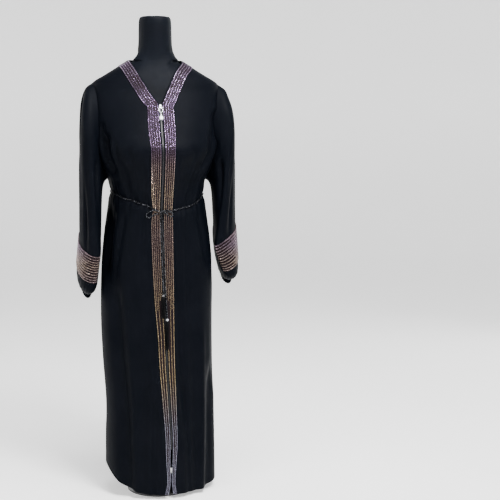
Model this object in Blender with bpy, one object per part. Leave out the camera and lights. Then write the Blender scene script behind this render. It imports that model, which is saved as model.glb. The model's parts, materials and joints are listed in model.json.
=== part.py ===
"""A front-opening abaya with stone-set bands, a corded belt and gathered cuffs, on a limbless dress form.

Metres, +Z up. The garment's front faces -Y and the wearer's left side is +X. The origin is on the floor
under the middle of the stand's base.

The cloth is one shared surface of points, cut into panels. Each panel becomes a thin wall along the
surface's normals, a little short of its seams, so neighbouring walls stay apart by the seam gap.
"""

import math

import bmesh
import bpy
import numpy as np
from mathutils import Vector
from mathutils.bvhtree import BVHTree

# Cloth
CLOTH = 0.0014
GAP = 0.0003
SLEEVE_PULL = 0.0008
BAND_THICK = 0.0010
AXIS_Y = 0.012

# Garment heights above the floor
UNDERARM_Z = 1.045
TIP_Z = 1.362
NECK_POINT_Z = 1.437
BACK_NECK_Z = 1.441
NECK_LOW_Z = 1.294
WAIST_Z = 0.977

# The belt's line drops to its knot, stands highest at the sides and draws the cloth in.
# Columns: angle from centre front, rise above WAIST_Z
BELT_COLUMNS = ("angle", "rise")
BELT_LINE = (
    (-180, 0.020),
    (-140, 0.018),
    (-105, 0.026),
    (-78, 0.038),
    (-61, 0.024),
    (-33, 0.004),
    (-20, -0.007),
    (0, -0.029),
    (21, -0.019),
    (42, -0.008),
    (61, 0.013),
    (78, 0.022),
    (105, 0.014),
    (140, 0.013),
    (180, 0.020),
)
BELT_REACH = 0.055
CINCH = 0.006
CINCH_REACH = 0.016

# Grid of the panels
HEM_ROWS = (0.014, 0.078, 0.145, 0.215, 0.290, 0.365, 0.440, 0.515, 0.590, 0.660, 0.725, 0.785, 0.840,
            0.890, 0.930, 0.957, WAIST_Z, 0.998, 1.021)
UPPER_ROWS = (0.080, 0.165, 0.255, 0.345, 0.435, 0.530, 0.635, 0.705, 0.775, 0.850, 0.930, 1.000)
SIDE_COLUMNS = 6
NECK_COLUMNS = 3
# How late the back's columns turn to the shoulder seam
BACK_TURN_POWER = 1.5
ARM_FRONT_DEGREES = 22.0
ARM_BACK_DEGREES = 13.0

# Width across the centre front: the plain edge beside the zip, then the band
PLAIN_EDGE = 0.004
BAND_WIDTH = 0.036

# The fronts' edges are drawn in below the waist, so their width there is a share of the widths above
TAPER_COLUMNS = ("height", "share")
FRONT_TAPER = (
    (0.014, 0.26),
    (0.090, 0.28),
    (0.160, 0.36),
    (0.220, 0.40),
    (0.312, 0.45),
    (0.450, 0.53),
    (0.545, 0.57),
    (0.636, 0.66),
    (0.730, 0.72),
    (0.910, 0.78),
    (1.045, 0.80),
    (1.133, 0.86),
    (1.215, 1.00),
)

# Body of the garment, a row for each height
BODY_COLUMNS = ("height", "half_width", "drift", "front", "back", "roundness")
BODY = (
    (0.000, 0.1860, 0.004, -0.137, 0.158, 2.25),
    (0.140, 0.1850, 0.004, -0.137, 0.158, 2.25),
    (0.330, 0.1835, 0.0035, -0.136, 0.157, 2.20),
    (0.445, 0.1870, 0.000, -0.136, 0.155, 2.20),
    (0.580, 0.1895, -0.002, -0.136, 0.153, 2.20),
    (0.710, 0.1895, 0.000, -0.137, 0.146, 2.20),
    (0.800, 0.1850, 0.0005, -0.137, 0.140, 2.20),
    (0.865, 0.1770, 0.0005, -0.137, 0.132, 2.20),
    (0.930, 0.1660, 0.000, -0.136, 0.120, 2.20),
    (0.975, 0.1590, 0.000, -0.137, 0.114, 2.20),
    (1.015, 0.1555, 0.000, -0.149, 0.111, 2.20),
    (1.045, 0.1580, 0.000, -0.160, 0.112, 2.25),
    (1.080, 0.1760, 0.000, -0.171, 0.115, 2.30),
    (1.110, 0.1920, 0.000, -0.179, 0.118, 2.30),
    (1.145, 0.2030, 0.000, -0.183, 0.121, 2.35),
    (1.200, 0.2110, 0.000, -0.158, 0.127, 2.35),
    (1.255, 0.2145, 0.000, -0.131, 0.124, 2.30),
    (1.300, 0.2145, 0.000, -0.112, 0.118, 2.25),
    (1.340, 0.2110, 0.000, -0.093, 0.105, 2.20),
    (1.362, 0.2050, 0.000, -0.086, 0.098, 2.20),
    (1.390, 0.1620, 0.000, -0.077, 0.084, 2.20),
    (1.415, 0.1220, 0.000, -0.057, 0.071, 2.20),
    (1.437, 0.0860, 0.000, -0.034, 0.058, 2.20),
    (1.445, 0.0740, 0.000, -0.030, 0.056, 2.20),
)

# Line of the centre front, and the right and left edges of the neck opening
CENTRE_COLUMNS = ("height", "offset", "half_gap")
CENTRE = (
    (0.014, 0.0185, 0.0080),
    (0.050, 0.0200, 0.0026),
    (0.120, 0.0210, 0.0034),
    (0.190, 0.0222, 0.0035),
    (0.312, 0.0172, 0.0035),
    (0.450, 0.0100, 0.0035),
    (0.545, 0.0074, 0.0035),
    (0.636, 0.0034, 0.0035),
    (0.730, 0.0006, 0.0035),
    (0.820, -0.0016, 0.0035),
    (1.030, -0.0020, 0.0035),
    (1.300, -0.0020, 0.0035),
)
NECK_EDGE_COLUMNS = ("share", "right", "left")
NECK_EDGE = (
    (0.00, 0.0055, 0.0015),
    (0.11, 0.0190, 0.0105),
    (0.43, 0.0450, 0.0325),
    (0.77, 0.0720, 0.0590),
    (0.90, 0.0805, 0.0765),
    (1.00, 0.0860, 0.0860),
)

# Soft folds of the body. Angles are from centre front, wearer's left positive; an inward depth is negative.
# Columns: top angle, top height, bottom angle, bottom height, width in degrees, depth
FOLDS = (
    (-60, 1.210, -55, 1.060, 5.5, -0.022),
    (-40, 1.120, -36, 0.960, 6.0, -0.010),
    (-24, 1.120, -22, 0.960, 6.0, -0.008),
    (24, 1.130, 20, 0.960, 6.0, -0.010),
    (40, 1.130, 34, 0.960, 6.0, -0.011),
    (72, 1.290, 48, 1.080, 7.0, -0.016),
    (82, 1.240, 62, 1.050, 6.0, -0.013),
    (-76, 1.000, -66, 0.620, 8.0, -0.013),
    (-58, 0.800, -46, 0.000, 7.0, -0.016),
    (-26, 0.520, -30, 0.000, 7.0, -0.008),
    (22, 0.950, 26, 0.180, 6.5, -0.014),
    (39, 0.780, 40, 0.000, 6.5, -0.011),
    (66, 0.460, 58, 0.000, 7.0, -0.013),
    (84, 0.950, 78, 0.300, 8.0, -0.010),
    (112, 0.960, 108, 0.000, 9.0, -0.013),
    (136, 0.970, 140, 0.060, 8.0, -0.011),
    (160, 0.960, 158, 0.000, 8.0, -0.013),
    (184, 0.970, 186, 0.300, 8.0, -0.008),
    (208, 0.960, 212, 0.000, 8.0, -0.013),
    (232, 0.960, 230, 0.080, 8.0, -0.011),
    (254, 0.960, 256, 0.000, 9.0, -0.013),
    (118, 1.330, 128, 1.090, 7.0, -0.016),
    (140, 1.240, 150, 1.020, 7.0, -0.010),
    (220, 1.240, 210, 1.020, 7.0, -0.010),
    (242, 1.330, 232, 1.090, 7.0, -0.016),
    (172, 1.120, 168, 1.010, 6.0, -0.008),
    (190, 1.120, 194, 1.010, 6.0, -0.008),
)
FOLD_END = 0.22

# The hem lifts at the wearer's right side and, less, at the left. Columns: angle, width in degrees, lift
HEM_LIFTS = ((-88.0, 34.0, 0.095), (76.0, 18.0, 0.014))
HEM_LIFT_REACH = 0.30

# Sleeves, a row for each section from the armhole to the gathered end; x is the distance from the middle
SLEEVE_COLUMNS = ("inner_x", "inner_z", "outer_x", "outer_z", "front", "back", "turn", "pitch", "bulge",
                  "roundness")
SLEEVE_RIGHT = (
    (0.158, 1.045, 0.2050, 1.362, -0.078, 0.057, 0.000, 0.000, 0.0185, 2.3),
    (0.168, 1.043, 0.2290, 1.343, -0.087, 0.058, 0.000, 0.000, 0.0125, 2.3),
    (0.176, 1.034, 0.2445, 1.303, -0.091, 0.057, 0.000, 0.000, 0.0090, 2.3),
    (0.181, 1.014, 0.2515, 1.243, -0.093, 0.056, 0.000, 0.000, 0.0060, 2.3),
    (0.184, 0.978, 0.2545, 1.168, -0.094, 0.055, 0.000, 0.000, 0.0030, 2.3),
    (0.186, 0.934, 0.2565, 1.083, -0.094, 0.057, 0.000, 0.000, 0.0000, 2.3),
    (0.188, 0.890, 0.2575, 1.000, -0.094, 0.062, 0.004, 0.020, 0.0000, 2.3),
    (0.190, 0.862, 0.2580, 0.922, -0.094, 0.068, 0.008, 0.050, 0.0000, 2.3),
    (0.191, 0.835, 0.2580, 0.852, -0.094, 0.075, 0.010, 0.076, 0.0000, 2.3),
    (0.195, 0.795, 0.2610, 0.808, -0.090, 0.085, 0.008, 0.076, 0.0000, 2.3),
    (0.199, 0.752, 0.2650, 0.765, -0.084, 0.092, 0.005, 0.076, 0.0000, 2.3),
    (0.202, 0.724, 0.2660, 0.734, -0.074, 0.097, 0.002, 0.072, 0.0000, 2.2),
    (0.209, 0.703, 0.2605, 0.712, -0.046, 0.099, 0.000, 0.058, 0.0000, 2.2),
    (0.218, 0.690, 0.2500, 0.697, 0.000, 0.090, 0.000, 0.040, 0.0000, 2.0),
    (0.219, 0.675, 0.2490, 0.681, 0.000, 0.092, 0.000, 0.040, 0.0000, 2.0),
)
SLEEVE_LEFT = (
    (0.158, 1.045, 0.2050, 1.362, -0.078, 0.057, 0.000, 0.000, 0.0185, 2.3),
    (0.168, 1.043, 0.2290, 1.343, -0.087, 0.058, 0.000, 0.000, 0.0125, 2.3),
    (0.176, 1.034, 0.2470, 1.303, -0.091, 0.057, 0.000, 0.000, 0.0090, 2.3),
    (0.181, 1.014, 0.2545, 1.245, -0.093, 0.056, 0.000, 0.000, 0.0060, 2.3),
    (0.184, 0.978, 0.2570, 1.175, -0.094, 0.055, 0.002, 0.000, 0.0030, 2.3),
    (0.186, 0.936, 0.2590, 1.100, -0.094, 0.057, 0.006, 0.000, 0.0000, 2.3),
    (0.188, 0.906, 0.2600, 1.026, -0.094, 0.062, 0.014, 0.020, 0.0000, 2.3),
    (0.189, 0.880, 0.2605, 0.960, -0.094, 0.068, 0.024, 0.050, 0.0000, 2.3),
    (0.189, 0.854, 0.2620, 0.898, -0.094, 0.075, 0.032, 0.076, 0.0000, 2.3),
    (0.193, 0.812, 0.2665, 0.850, -0.088, 0.085, 0.020, 0.076, 0.0000, 2.3),
    (0.200, 0.774, 0.2700, 0.800, -0.080, 0.092, 0.006, 0.076, 0.0000, 2.3),
    (0.207, 0.752, 0.2715, 0.769, -0.070, 0.097, 0.000, 0.070, 0.0000, 2.2),
    (0.214, 0.736, 0.2690, 0.746, -0.042, 0.099, 0.000, 0.058, 0.0000, 2.2),
    (0.225, 0.724, 0.2590, 0.732, 0.000, 0.090, 0.000, 0.040, 0.0000, 2.0),
    (0.226, 0.709, 0.2580, 0.716, 0.000, 0.092, 0.000, 0.040, 0.0000, 2.0),
)
# Loops of the sleeve, as places between the rows above
SLEEVE_LOOPS = (0, 0.5, 1, 1.5, 2, 2.6, 3.3, 4, 4.7, 5.4, 6.1, 6.7, 7.4, 8, 8.67, 9.33, 10, 10.7, 11.4, 12.1,
                13, 14)
BAND_FIRST_LOOP = 13
BAND_LAST_LOOP = 16
BAND_FIRST_COLUMN = 4
BAND_LAST_COLUMN = 19
CASING_LOOP = 20
ARMHOLE_BLEND = 3.0
ARMHOLE_DEPTH_BLEND = 7.0
GATHERS = 12
GATHER_DEPTH = 0.0022
GATHER_START = 10.2
GATHER_RUN = 2.8
# Half of the sleeve's usual thickness and of its usual depth, for the folds' shares
SLEEVE_HALF = (0.035, 0.075)
# Soft folds of the sleeves. Columns: turn angle, first row, last row, width in degrees, depth
SLEEVE_FOLDS = (
    (110, 2.5, 7.5, 16, -0.006),
    (150, 3.5, 8.5, 16, -0.004),
    (215, 1.5, 7.0, 16, -0.007),
    (250, 3.0, 8.0, 16, -0.006),
)

# Zip: tapes behind the fronts' edges, with the closed teeth as a raised middle
ZIP_BOTTOM_Z = 0.165
TAPE_HALF = 0.012
TAPE_THICK = 0.0008
TEETH_HALF = 0.0026
MID_GAP = 0.00015

# Slider and its hanging pull
SLIDER_SIZE = (0.0064, 0.0130, 0.0030)
SLIDER_DOWN = 0.012
WIRE = 0.0012
BAIL_HEIGHT = 0.0034
BAIL_HALF = 0.0034
RING_HALF = (0.0060, 0.0105)
DROP_LOOP_HALF = 0.0022
BEAD_RADIUS = 0.0026
CRYSTAL = (0.0125, 0.0140, 0.0060)
SLIDER_OUT = 0.0006
SLIDER_BEVEL = 0.0008
BAIL_SINK = 0.0006
LOOP_RADIUS = 0.00045
LOOP_DROP = 0.0007
BEAD_SINK = 0.0006
NECK_SIZE = (0.0030, 0.0060, 0.0020)
NECK_DOWN = 0.0006
NECK_BEVEL = 0.0004
CRYSTAL_DOWN = 0.0036
CRYSTAL_BEVEL = 0.0022

# Corded belt
CORD = 0.0040
BELT_POINTS = 60
BELT_FINER = 4
BELT_START = 3.2
BELT_TURN = -1.9
BELT_SLACK = 0.0005
SEAT_BACK = 0.03
KNOT_HALF = (0.0070, 0.0050, 0.0060)
KNOT_OUT = (0.0, -0.0035, -0.0010)
# Bow loops. Columns: name, side, reach, drop
BOWS = (
    ("belt_bow_right", -1, 0.040, 0.020),
    ("belt_bow_left", 1, 0.030, 0.018),
)
BOW_GAP = 0.0002
BOW_ROOTS = (0.0026, -0.0032)
# Outline of a bow loop from its upper root: shares of its reach and of its drop
BOW_LINE = ((0.35, 0.22), (0.75, -0.10), (1.00, -0.50), (0.90, -1.00), (0.62, -0.80), (0.30, -0.45))
BOW_STEP = 0.0070
END_STEP = 0.0120
# Line of a hanging end: share of the way down, sway to its own side, and how far it stands out
END_LINE = ((0.00, 0.0, 0.0), (0.12, 0.0006, 0.0008), (0.40, 0.0008, 0.0004), (0.75, -0.0006, 0.0),
            (0.95, 0.0, 0.0), (1.00, 0.0, 0.0))
STRAND_CLEAR = 0.0012
# Free ends of the belt. Columns: name, lateral place, bead height, bead radius, height of the strands' ends
BELT_ENDS = (
    ("right", -0.0015, 0.680, 0.0045, 0.606),
    ("left", 0.0108, 0.600, 0.0050, 0.504),
)
CAP_HEIGHT = 0.011
# Cap of a tassel from its top: share of its height, radius
CAP_LINE = ((0.0, 0.0022), (0.15, 0.0036), (0.40, 0.0058), (1.0, 0.0053))
STRANDS = 14
STRAND_SPREAD = 0.0068
STRAND_INSET = 0.00022
# Circles of the roots under the cap: inner edge and middle; the strands' middle height share; their uneven ends
ROOT_INNER = 0.0024
ROOT_MIDDLE = 0.0042
STRAND_MIDDLE = 0.45
STRAND_UNEVEN = 0.003

# Dress form, a row for each height; the shoulder rows are worked out from the cloth
FORM_COLUMNS = ("height", "half_width", "front", "back", "roundness")
FORM_LOW = (
    (0.735, 0.1480, -0.108, 0.112, 2.2),
    (0.790, 0.1540, -0.112, 0.118, 2.2),
    (0.860, 0.1500, -0.108, 0.114, 2.2),
    (0.920, 0.1360, -0.100, 0.100, 2.2),
    (0.985, 0.1220, -0.098, 0.086, 2.2),
    (1.040, 0.1270, -0.112, 0.088, 2.2),
    (1.090, 0.1380, -0.140, 0.094, 2.3),
    (1.140, 0.1480, -0.160, 0.100, 2.4),
    (1.190, 0.1560, -0.136, 0.104, 2.3),
    (1.240, 0.1640, -0.110, 0.106, 2.2),
    (1.285, 0.1730, -0.094, 0.102, 2.2),
    (1.320, 0.1830, -0.082, 0.094, 2.2),
    (1.345, 0.1920, -0.074, 0.086, 2.2),
)
FORM_NECK = (
    (1.4480, 0.0690, -0.044, 0.049, 2.1),
    (1.4650, 0.0590, -0.045, 0.048, 2.1),
    (1.4900, 0.0550, -0.047, 0.047, 2.1),
    (1.5550, 0.0545, -0.050, 0.046, 2.1),
    (1.5700, 0.0525, -0.048, 0.044, 2.1),
    (1.5760, 0.0480, -0.043, 0.039, 2.1),
)
FORM_INSET = 0.0013
FORM_CLEAR = 0.0009
FORM_STEP = 0.0005
FORM_ROUNDS = 60
FORM_SIDES = 24
POLE_RADIUS = 0.0140
BASE_RADIUS = 0.110
BASE_HEIGHT = 0.014
POLE_SIDES = 20
BASE_SIDES = 40
# Edge of the base from the floor up: share of its height, and how far in from its radius
BASE_LINE = ((0.0, 0.0), (0.55, 0.0), (0.85, 0.004), (1.0, 0.012))


def clear_scene():
    for thing in list(bpy.data.objects):
        bpy.data.objects.remove(thing, do_unlink=True)


def table(rows, columns):
    """The rows as one array for each named column."""
    return {name: np.array([row[i] for row in rows], float) for i, name in enumerate(columns)}


def smooth_value(xs, ys, x):
    """A smooth curve through the points (xs, ys), read at x; flat past both ends."""
    x = np.clip(x, xs[0], xs[-1])
    i = np.clip(np.searchsorted(xs, x, side="right") - 1, 0, len(xs) - 2)
    slopes = np.gradient(ys, xs)
    run = xs[i + 1] - xs[i]
    t = (x - xs[i]) / run
    start = (1 + 2 * t) * (1 - t) ** 2 * ys[i] + t * (1 - t) ** 2 * run * slopes[i]
    end = t * t * (3 - 2 * t) * ys[i + 1] + t * t * (t - 1) * run * slopes[i + 1]
    return start + end


BODY_TABLE = table(BODY, BODY_COLUMNS)
BELT_TABLE = table(BELT_LINE, BELT_COLUMNS)
TAPER_TABLE = table(FRONT_TAPER, TAPER_COLUMNS)
CENTRE_TABLE = table(CENTRE, CENTRE_COLUMNS)
NECK_TABLE = table(NECK_EDGE, NECK_EDGE_COLUMNS)


def body(name, z):
    return smooth_value(BODY_TABLE["height"], BODY_TABLE[name], z)


def centre(name, z):
    return smooth_value(CENTRE_TABLE["height"], CENTRE_TABLE[name], z)


def belt_rise(angle):
    """How far the belt's line stands above WAIST_Z at an angle."""
    return smooth_value(BELT_TABLE["angle"], BELT_TABLE["rise"], (angle + 180) % 360 - 180)


def oval_radius(sine, cosine, half_width, front, back, roundness):
    """Distance from the axis to a rounded oval, in the direction (sine, -cosine)."""
    depth = np.where(cosine > 0, AXIS_Y - front, back - AXIS_Y)
    total = np.abs(sine / half_width) ** roundness + np.abs(cosine / depth) ** roundness
    return total ** (-1 / roundness)


def fold_depth(angle, z):
    """How far the folds push the cloth out at an angle in degrees and a height."""
    total = 0.0 * angle
    for top_angle, top_z, bottom_angle, bottom_z, width, depth in FOLDS:
        share = (top_z - z) / (top_z - bottom_z)
        line = top_angle + (bottom_angle - top_angle) * np.clip(share, 0, 1)
        away = (angle - line + 180) % 360 - 180
        ends = np.clip(share / FOLD_END, 0, 1) * np.clip((1 - share) / FOLD_END, 0, 1)
        if bottom_z <= 0:
            ends = np.clip(share / FOLD_END, 0, 1) * (share < 1.2)
        total = total + depth * np.exp(-((away / width) ** 2)) * ends * ends * (3 - 2 * ends)
    return total


def surface(angle, z):
    """A point of the body's cloth; the angle is in degrees from centre front, wearer's left positive."""
    sine, cosine = np.sin(np.radians(angle)), np.cos(np.radians(angle))
    rise = belt_rise(angle)
    z = z + rise * np.exp(-(((z - WAIST_Z) / BELT_REACH) ** 2))
    radius = oval_radius(sine, cosine, body("half_width", z), body("front", z), body("back", z),
                         body("roundness", z))
    belt_z = WAIST_Z + rise
    radius = radius - CINCH * np.exp(-(((z - belt_z) / CINCH_REACH) ** 2)) + fold_depth(angle, z)
    lift = 0.0 * z
    for middle, width, most in HEM_LIFTS:
        away = (angle - middle + 180) % 360 - 180
        lift = lift + most * np.exp(-((away / width) ** 2)) * np.clip(1 - z / HEM_LIFT_REACH, 0, 1) ** 2
    return np.stack([body("drift", z) + radius * sine, AXIS_Y - radius * cosine, z + lift], axis=-1)


def spread(line, fixed, count):
    """Shares along a dense line: the fixed distances from its start, then count equal steps to its end."""
    run = np.concatenate([[0], np.cumsum(np.linalg.norm(np.diff(line, axis=0), axis=1))])
    rest = np.linspace(fixed[-1], run[-1], count + 1)[1:]
    return np.interp(np.concatenate([fixed, rest]), run, np.linspace(0, 1, len(line)))


def armhole_angle(side, z, reach, base):
    """Angle of the armhole's edge at a height; base is the side seam's angle."""
    share = np.clip((z - UNDERARM_Z) / (TIP_Z - UNDERARM_Z), 0, 1)
    return base - side * reach * np.sqrt(4 * share * (1 - share))


def side_rows():
    """Heights of the rows at the side seam and the armhole, and how far each one has turned to the shoulder."""
    low = list(HEM_ROWS) + [UNDERARM_Z]
    steps = np.array(UPPER_ROWS)
    heights = np.array(low + list(UNDERARM_Z + (TIP_Z - UNDERARM_Z) * steps))
    return heights, np.concatenate([np.zeros(len(low)), steps])


def angle_at(side, z, lateral):
    """Angle at which the body's cloth has that lateral place, on one side of the front."""
    angles = np.linspace(-30, 90, 241)
    places = side * surface(side * angles, np.full(241, z))[:, 0]
    return float(np.interp(lateral, places, angles))


def front_grid(side):
    """Points of one front panel, a row for each height and a column for each step from the opening outward."""
    heights, turned = side_rows()
    centre_heights = heights + (NECK_POINT_Z - TIP_Z) * turned
    neck_row = int(np.argmin(np.abs(centre_heights - NECK_LOW_Z)))
    neck_z = centre_heights[neck_row]
    fixed = (0, PLAIN_EDGE, PLAIN_EDGE + BAND_WIDTH / 2, PLAIN_EDGE + BAND_WIDTH)
    grid = []
    for row, (z, turn) in enumerate(zip(heights, turned)):
        edge_z = centre_heights[row]
        if row <= neck_row:
            lateral = side * centre("offset", edge_z) + centre("half_gap", edge_z)
        else:
            share = (edge_z - neck_z) / (NECK_POINT_Z - neck_z)
            lateral = smooth_value(NECK_TABLE["share"], NECK_TABLE["left" if side > 0 else "right"], share)
        start = angle_at(side, edge_z, lateral) if turn < 1 else 90.0
        end = armhole_angle(1, z, ARM_FRONT_DEGREES, 90.0)
        share = np.linspace(0, 1, 161)
        line = surface(side * (start + (end - start) * share), edge_z + (z - edge_z) * share)
        drawn = smooth_value(TAPER_TABLE["height"], TAPER_TABLE["share"], edge_z)
        share = spread(line, [width * drawn for width in fixed], SIDE_COLUMNS)
        grid.append(surface(side * (start + (end - start) * share), edge_z + (z - edge_z) * share))
    return np.array(grid), neck_row


def back_grid(left_front, right_front):
    """Points of the back, from the wearer's left side seam round to the right; it shares the fronts' seams."""
    heights, turned = side_rows()
    top_left, top_right = left_front[-1][::-1], right_front[-1]
    neck = np.linspace(0, 1, NECK_COLUMNS + 1)[1:-1]
    count = len(top_left)
    top_angle = np.concatenate([np.full(count, 90.0), 90 + 180 * neck, np.full(count, 270.0)])
    rise = NECK_POINT_Z + (BACK_NECK_Z - NECK_POINT_Z) * np.sin(np.pi * neck)
    top_z = np.concatenate([top_left[:, 2], rise, top_right[:, 2]])
    grid = []
    for z, turn in zip(heights, turned):
        start = armhole_angle(-1, z, ARM_BACK_DEGREES, 90.0)
        even = np.linspace(start, 360 - start, len(top_angle))
        weight = turn**BACK_TURN_POWER
        angle = even + (top_angle - even) * weight
        grid.append(surface(angle, z + (top_z - TIP_Z) * turn))
    grid = np.array(grid)
    grid[-1][:count] = top_left
    grid[-1][-count:] = top_right
    return grid


def sleeve_section(rows, side, place, turn_angles):
    """Points round the sleeve at a place between the table's rows, starting at the inner side."""
    columns = table(rows, SLEEVE_COLUMNS)
    at = {name: smooth_value(np.arange(len(rows), dtype=float), columns[name], place) for name in columns}
    sine, cosine = np.sin(np.radians(turn_angles)), np.cos(np.radians(turn_angles))
    power = 2 / at["roundness"]
    across = np.sign(cosine) * np.abs(cosine) ** power
    along = np.sign(sine) * np.abs(sine) ** power
    push = sleeve_folds(turn_angles, place)
    across, along = across * (1 + push / SLEEVE_HALF[0]), along * (1 + push / SLEEVE_HALF[1])
    x = (at["inner_x"] + at["outer_x"]) / 2 - (at["outer_x"] - at["inner_x"]) / 2 * across
    x = x - at["turn"] * np.maximum(along, 0) ** 2 + at["bulge"] * along**2
    y = (at["front"] + at["back"]) / 2 - (at["back"] - at["front"]) / 2 * along
    z = (at["inner_z"] + at["outer_z"]) / 2 - (at["outer_z"] - at["inner_z"]) / 2 * across
    return np.stack([side * x, y, z - at["pitch"] / 2 * along], axis=-1)


def sleeve_folds(turn_angles, place):
    """How far the folds and the gathers push the sleeve out."""
    total = 0.0 * turn_angles
    for angle, first, last, width, depth in SLEEVE_FOLDS:
        share = np.clip((place - first) / (last - first), 0, 1)
        away = (turn_angles - angle + 180) % 360 - 180
        total = total + depth * np.exp(-((away / width) ** 2)) * math.sin(math.pi * share) ** 2
    gathered = np.clip((place - GATHER_START) / GATHER_RUN, 0, 1)
    waves = np.cos(np.radians(turn_angles * GATHERS))
    return total + GATHER_DEPTH * gathered * waves


def sleeve_loops(rows, side, armhole):
    """Loops of points from the armhole to the end of the casing."""
    count = len(armhole)
    even = np.arange(count) * 360.0 / count
    low, high = armhole[0][2], armhole[count // 2][2]
    across = np.clip(((low + high) / 2 - armhole[:, 2]) / ((high - low) / 2), -1, 1)
    first = np.degrees(np.arccos(np.sign(across) * np.abs(across) ** (rows[0][-1] / 2)))
    first[count // 2 + 1:] = 360 - first[count // 2 + 1:]
    off = armhole - sleeve_section(rows, side, 0.0, first)
    loops = [armhole]
    for place in SLEEVE_LOOPS[1:]:
        share = min(1.0, place / ARMHOLE_BLEND)
        angles = first + (even - first) * share * share * (3 - 2 * share)
        quick, slow = (1 - share) ** 2, max(0.0, 1 - place / ARMHOLE_DEPTH_BLEND) ** 2
        loops.append(sleeve_section(rows, side, place, angles) + off * np.array([quick, slow, quick]))
    return loops


class Cloth:
    """One surface of shared points, whose triangles belong to named panels."""

    def __init__(self):
        self.points = []
        self.found = {}
        self.panels = {}

    def add(self, point):
        key = tuple(np.round(point, 6))
        if key not in self.found:
            self.found[key] = len(self.points)
            self.points.append(np.array(point, float))
        return self.found[key]

    def grid(self, panel, rows, outward, closed=False):
        """Adds a grid as triangles; each square is split along its shorter diagonal."""
        ids = [[self.add(point) for point in row] for row in rows]
        faces = self.panels.setdefault(panel, [])
        count = len(ids[0])
        for r in range(len(ids) - 1):
            for c in range(count if closed else count - 1):
                d = (c + 1) % count
                square = [ids[r][c], ids[r][d], ids[r + 1][d], ids[r + 1][c]]
                if not outward:
                    square.reverse()
                faces += self.split(square)
        return ids

    def split(self, square):
        a, b, c, d = (self.points[i] for i in square)
        if np.linalg.norm(a - c) <= np.linalg.norm(b - d):
            return [(square[0], square[1], square[2]), (square[0], square[2], square[3])]
        return [(square[0], square[1], square[3]), (square[1], square[2], square[3])]

    def normals(self):
        points = np.array(self.points)
        total = np.zeros_like(points)
        for faces in self.panels.values():
            for face in faces:
                a, b, c = points[list(face)]
                way = np.cross(b - a, c - a)
                way = way / max(np.linalg.norm(way), 1e-12)
                for i, (p, q, r) in zip(face, ((a, b, c), (b, c, a), (c, a, b))):
                    u, v = q - p, r - p
                    corner = np.dot(u, v) / max(np.linalg.norm(u) * np.linalg.norm(v), 1e-12)
                    total[i] += way * math.acos(max(-1.0, min(1.0, corner)))
        return points, total / np.maximum(np.linalg.norm(total, axis=1, keepdims=True), 1e-12)


def boundary(faces):
    """Directed edges of a patch that only one of its triangles has."""
    edges = {(face[i], face[(i + 1) % 3]) for face in faces for i in range(3)}
    return [edge for edge in edges if (edge[1], edge[0]) not in edges]


def inward_shift(points, normals, edges, distance):
    """For each edge point, the shift within the surface that pulls both its edges in by the distance."""
    ways = {}
    for a, b in edges:
        for i in (a, b):
            way = np.cross(normals[i], points[b] - points[a])
            ways.setdefault(i, []).append(way / max(np.linalg.norm(way), 1e-12))
    shifts = {}
    for i, pair in ways.items():
        middle = sum(pair) / len(pair)
        length = np.linalg.norm(middle)
        middle = middle / max(length, 1e-9)
        shifts[i] = middle * min(distance / max(length, 0.35), 3 * distance)
    return shifts


def wall(name, faces, points, normals, inner, outer, pull, material):
    """A closed wall between two offsets from the shared surface, pulled in from its outline."""
    edges = boundary(faces)
    shifts = inward_shift(points, normals, edges, pull)
    used = sorted({i for face in faces for i in face})
    place = {i: k for k, i in enumerate(used)}
    base = [points[i] + shifts.get(i, 0) for i in used]
    out = [p + normals[i] * outer for p, i in zip(base, used)]
    back = [p + normals[i] * inner for p, i in zip(base, used)]
    n = len(used)
    solid = [tuple(place[i] for i in face) for face in faces]
    solid += [tuple(place[i] + n for i in reversed(face)) for face in faces]
    for a, b in sorted(edges):
        a, b = place[a], place[b]
        solid += [(b, a, a + n), (b, a + n, b + n)]
    return mesh_object(name, out + back, solid, material)


def mesh_object(name, points, faces, material, sharp=50):
    data = bpy.data.meshes.new(name)
    data.from_pydata([tuple(map(float, p)) for p in points], [], faces)
    data.update()
    data.materials.append(material)
    data.shade_smooth()
    data.set_sharp_from_angle(angle=math.radians(sharp))
    made = bpy.data.objects.new(name, data)
    bpy.context.collection.objects.link(made)
    return made


def finish(name, colour, roughness, metallic=0.0):
    material = bpy.data.materials.new(name)
    material.use_nodes = True
    shader = material.node_tree.nodes["Principled BSDF"]
    shader.inputs["Base Color"].default_value = (*colour, 1.0)
    shader.inputs["Roughness"].default_value = roughness
    shader.inputs["Metallic"].default_value = metallic
    material.diffuse_color = (*colour, 1.0)
    return material


def loft(name, rings, material, capped=True):
    """A closed body through rings of equal count, wound so that its faces point out."""
    count = len(rings[0])
    points = [p for ring in rings for p in ring]
    faces = []
    for r in range(len(rings) - 1):
        for c in range(count):
            d = (c + 1) % count
            faces.append((r * count + c, r * count + d, (r + 1) * count + d, (r + 1) * count + c))
    if capped:
        faces.append(tuple(reversed(range(count))))
        faces.append(tuple(range((len(rings) - 1) * count, len(rings) * count)))
    made = mesh_object(name, points, faces, material)
    face_out(made)
    return made


def face_out(made):
    """Turns a mesh's faces outward."""
    shape = bmesh.new()
    shape.from_mesh(made.data)
    bmesh.ops.recalc_face_normals(shape, faces=shape.faces)
    shape.to_mesh(made.data)
    shape.free()


def smooth_path(points, step):
    """Points about a step apart on a smooth curve through the given ones."""
    points = np.array(points, float)
    run = np.concatenate([[0], np.cumsum(np.linalg.norm(np.diff(points, axis=0), axis=1))])
    count = max(2, int(round(run[-1] / step)) + 1)
    at = np.linspace(0, run[-1], count)
    return np.stack([smooth_value(run, points[:, k], at) for k in range(3)], axis=1)


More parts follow.
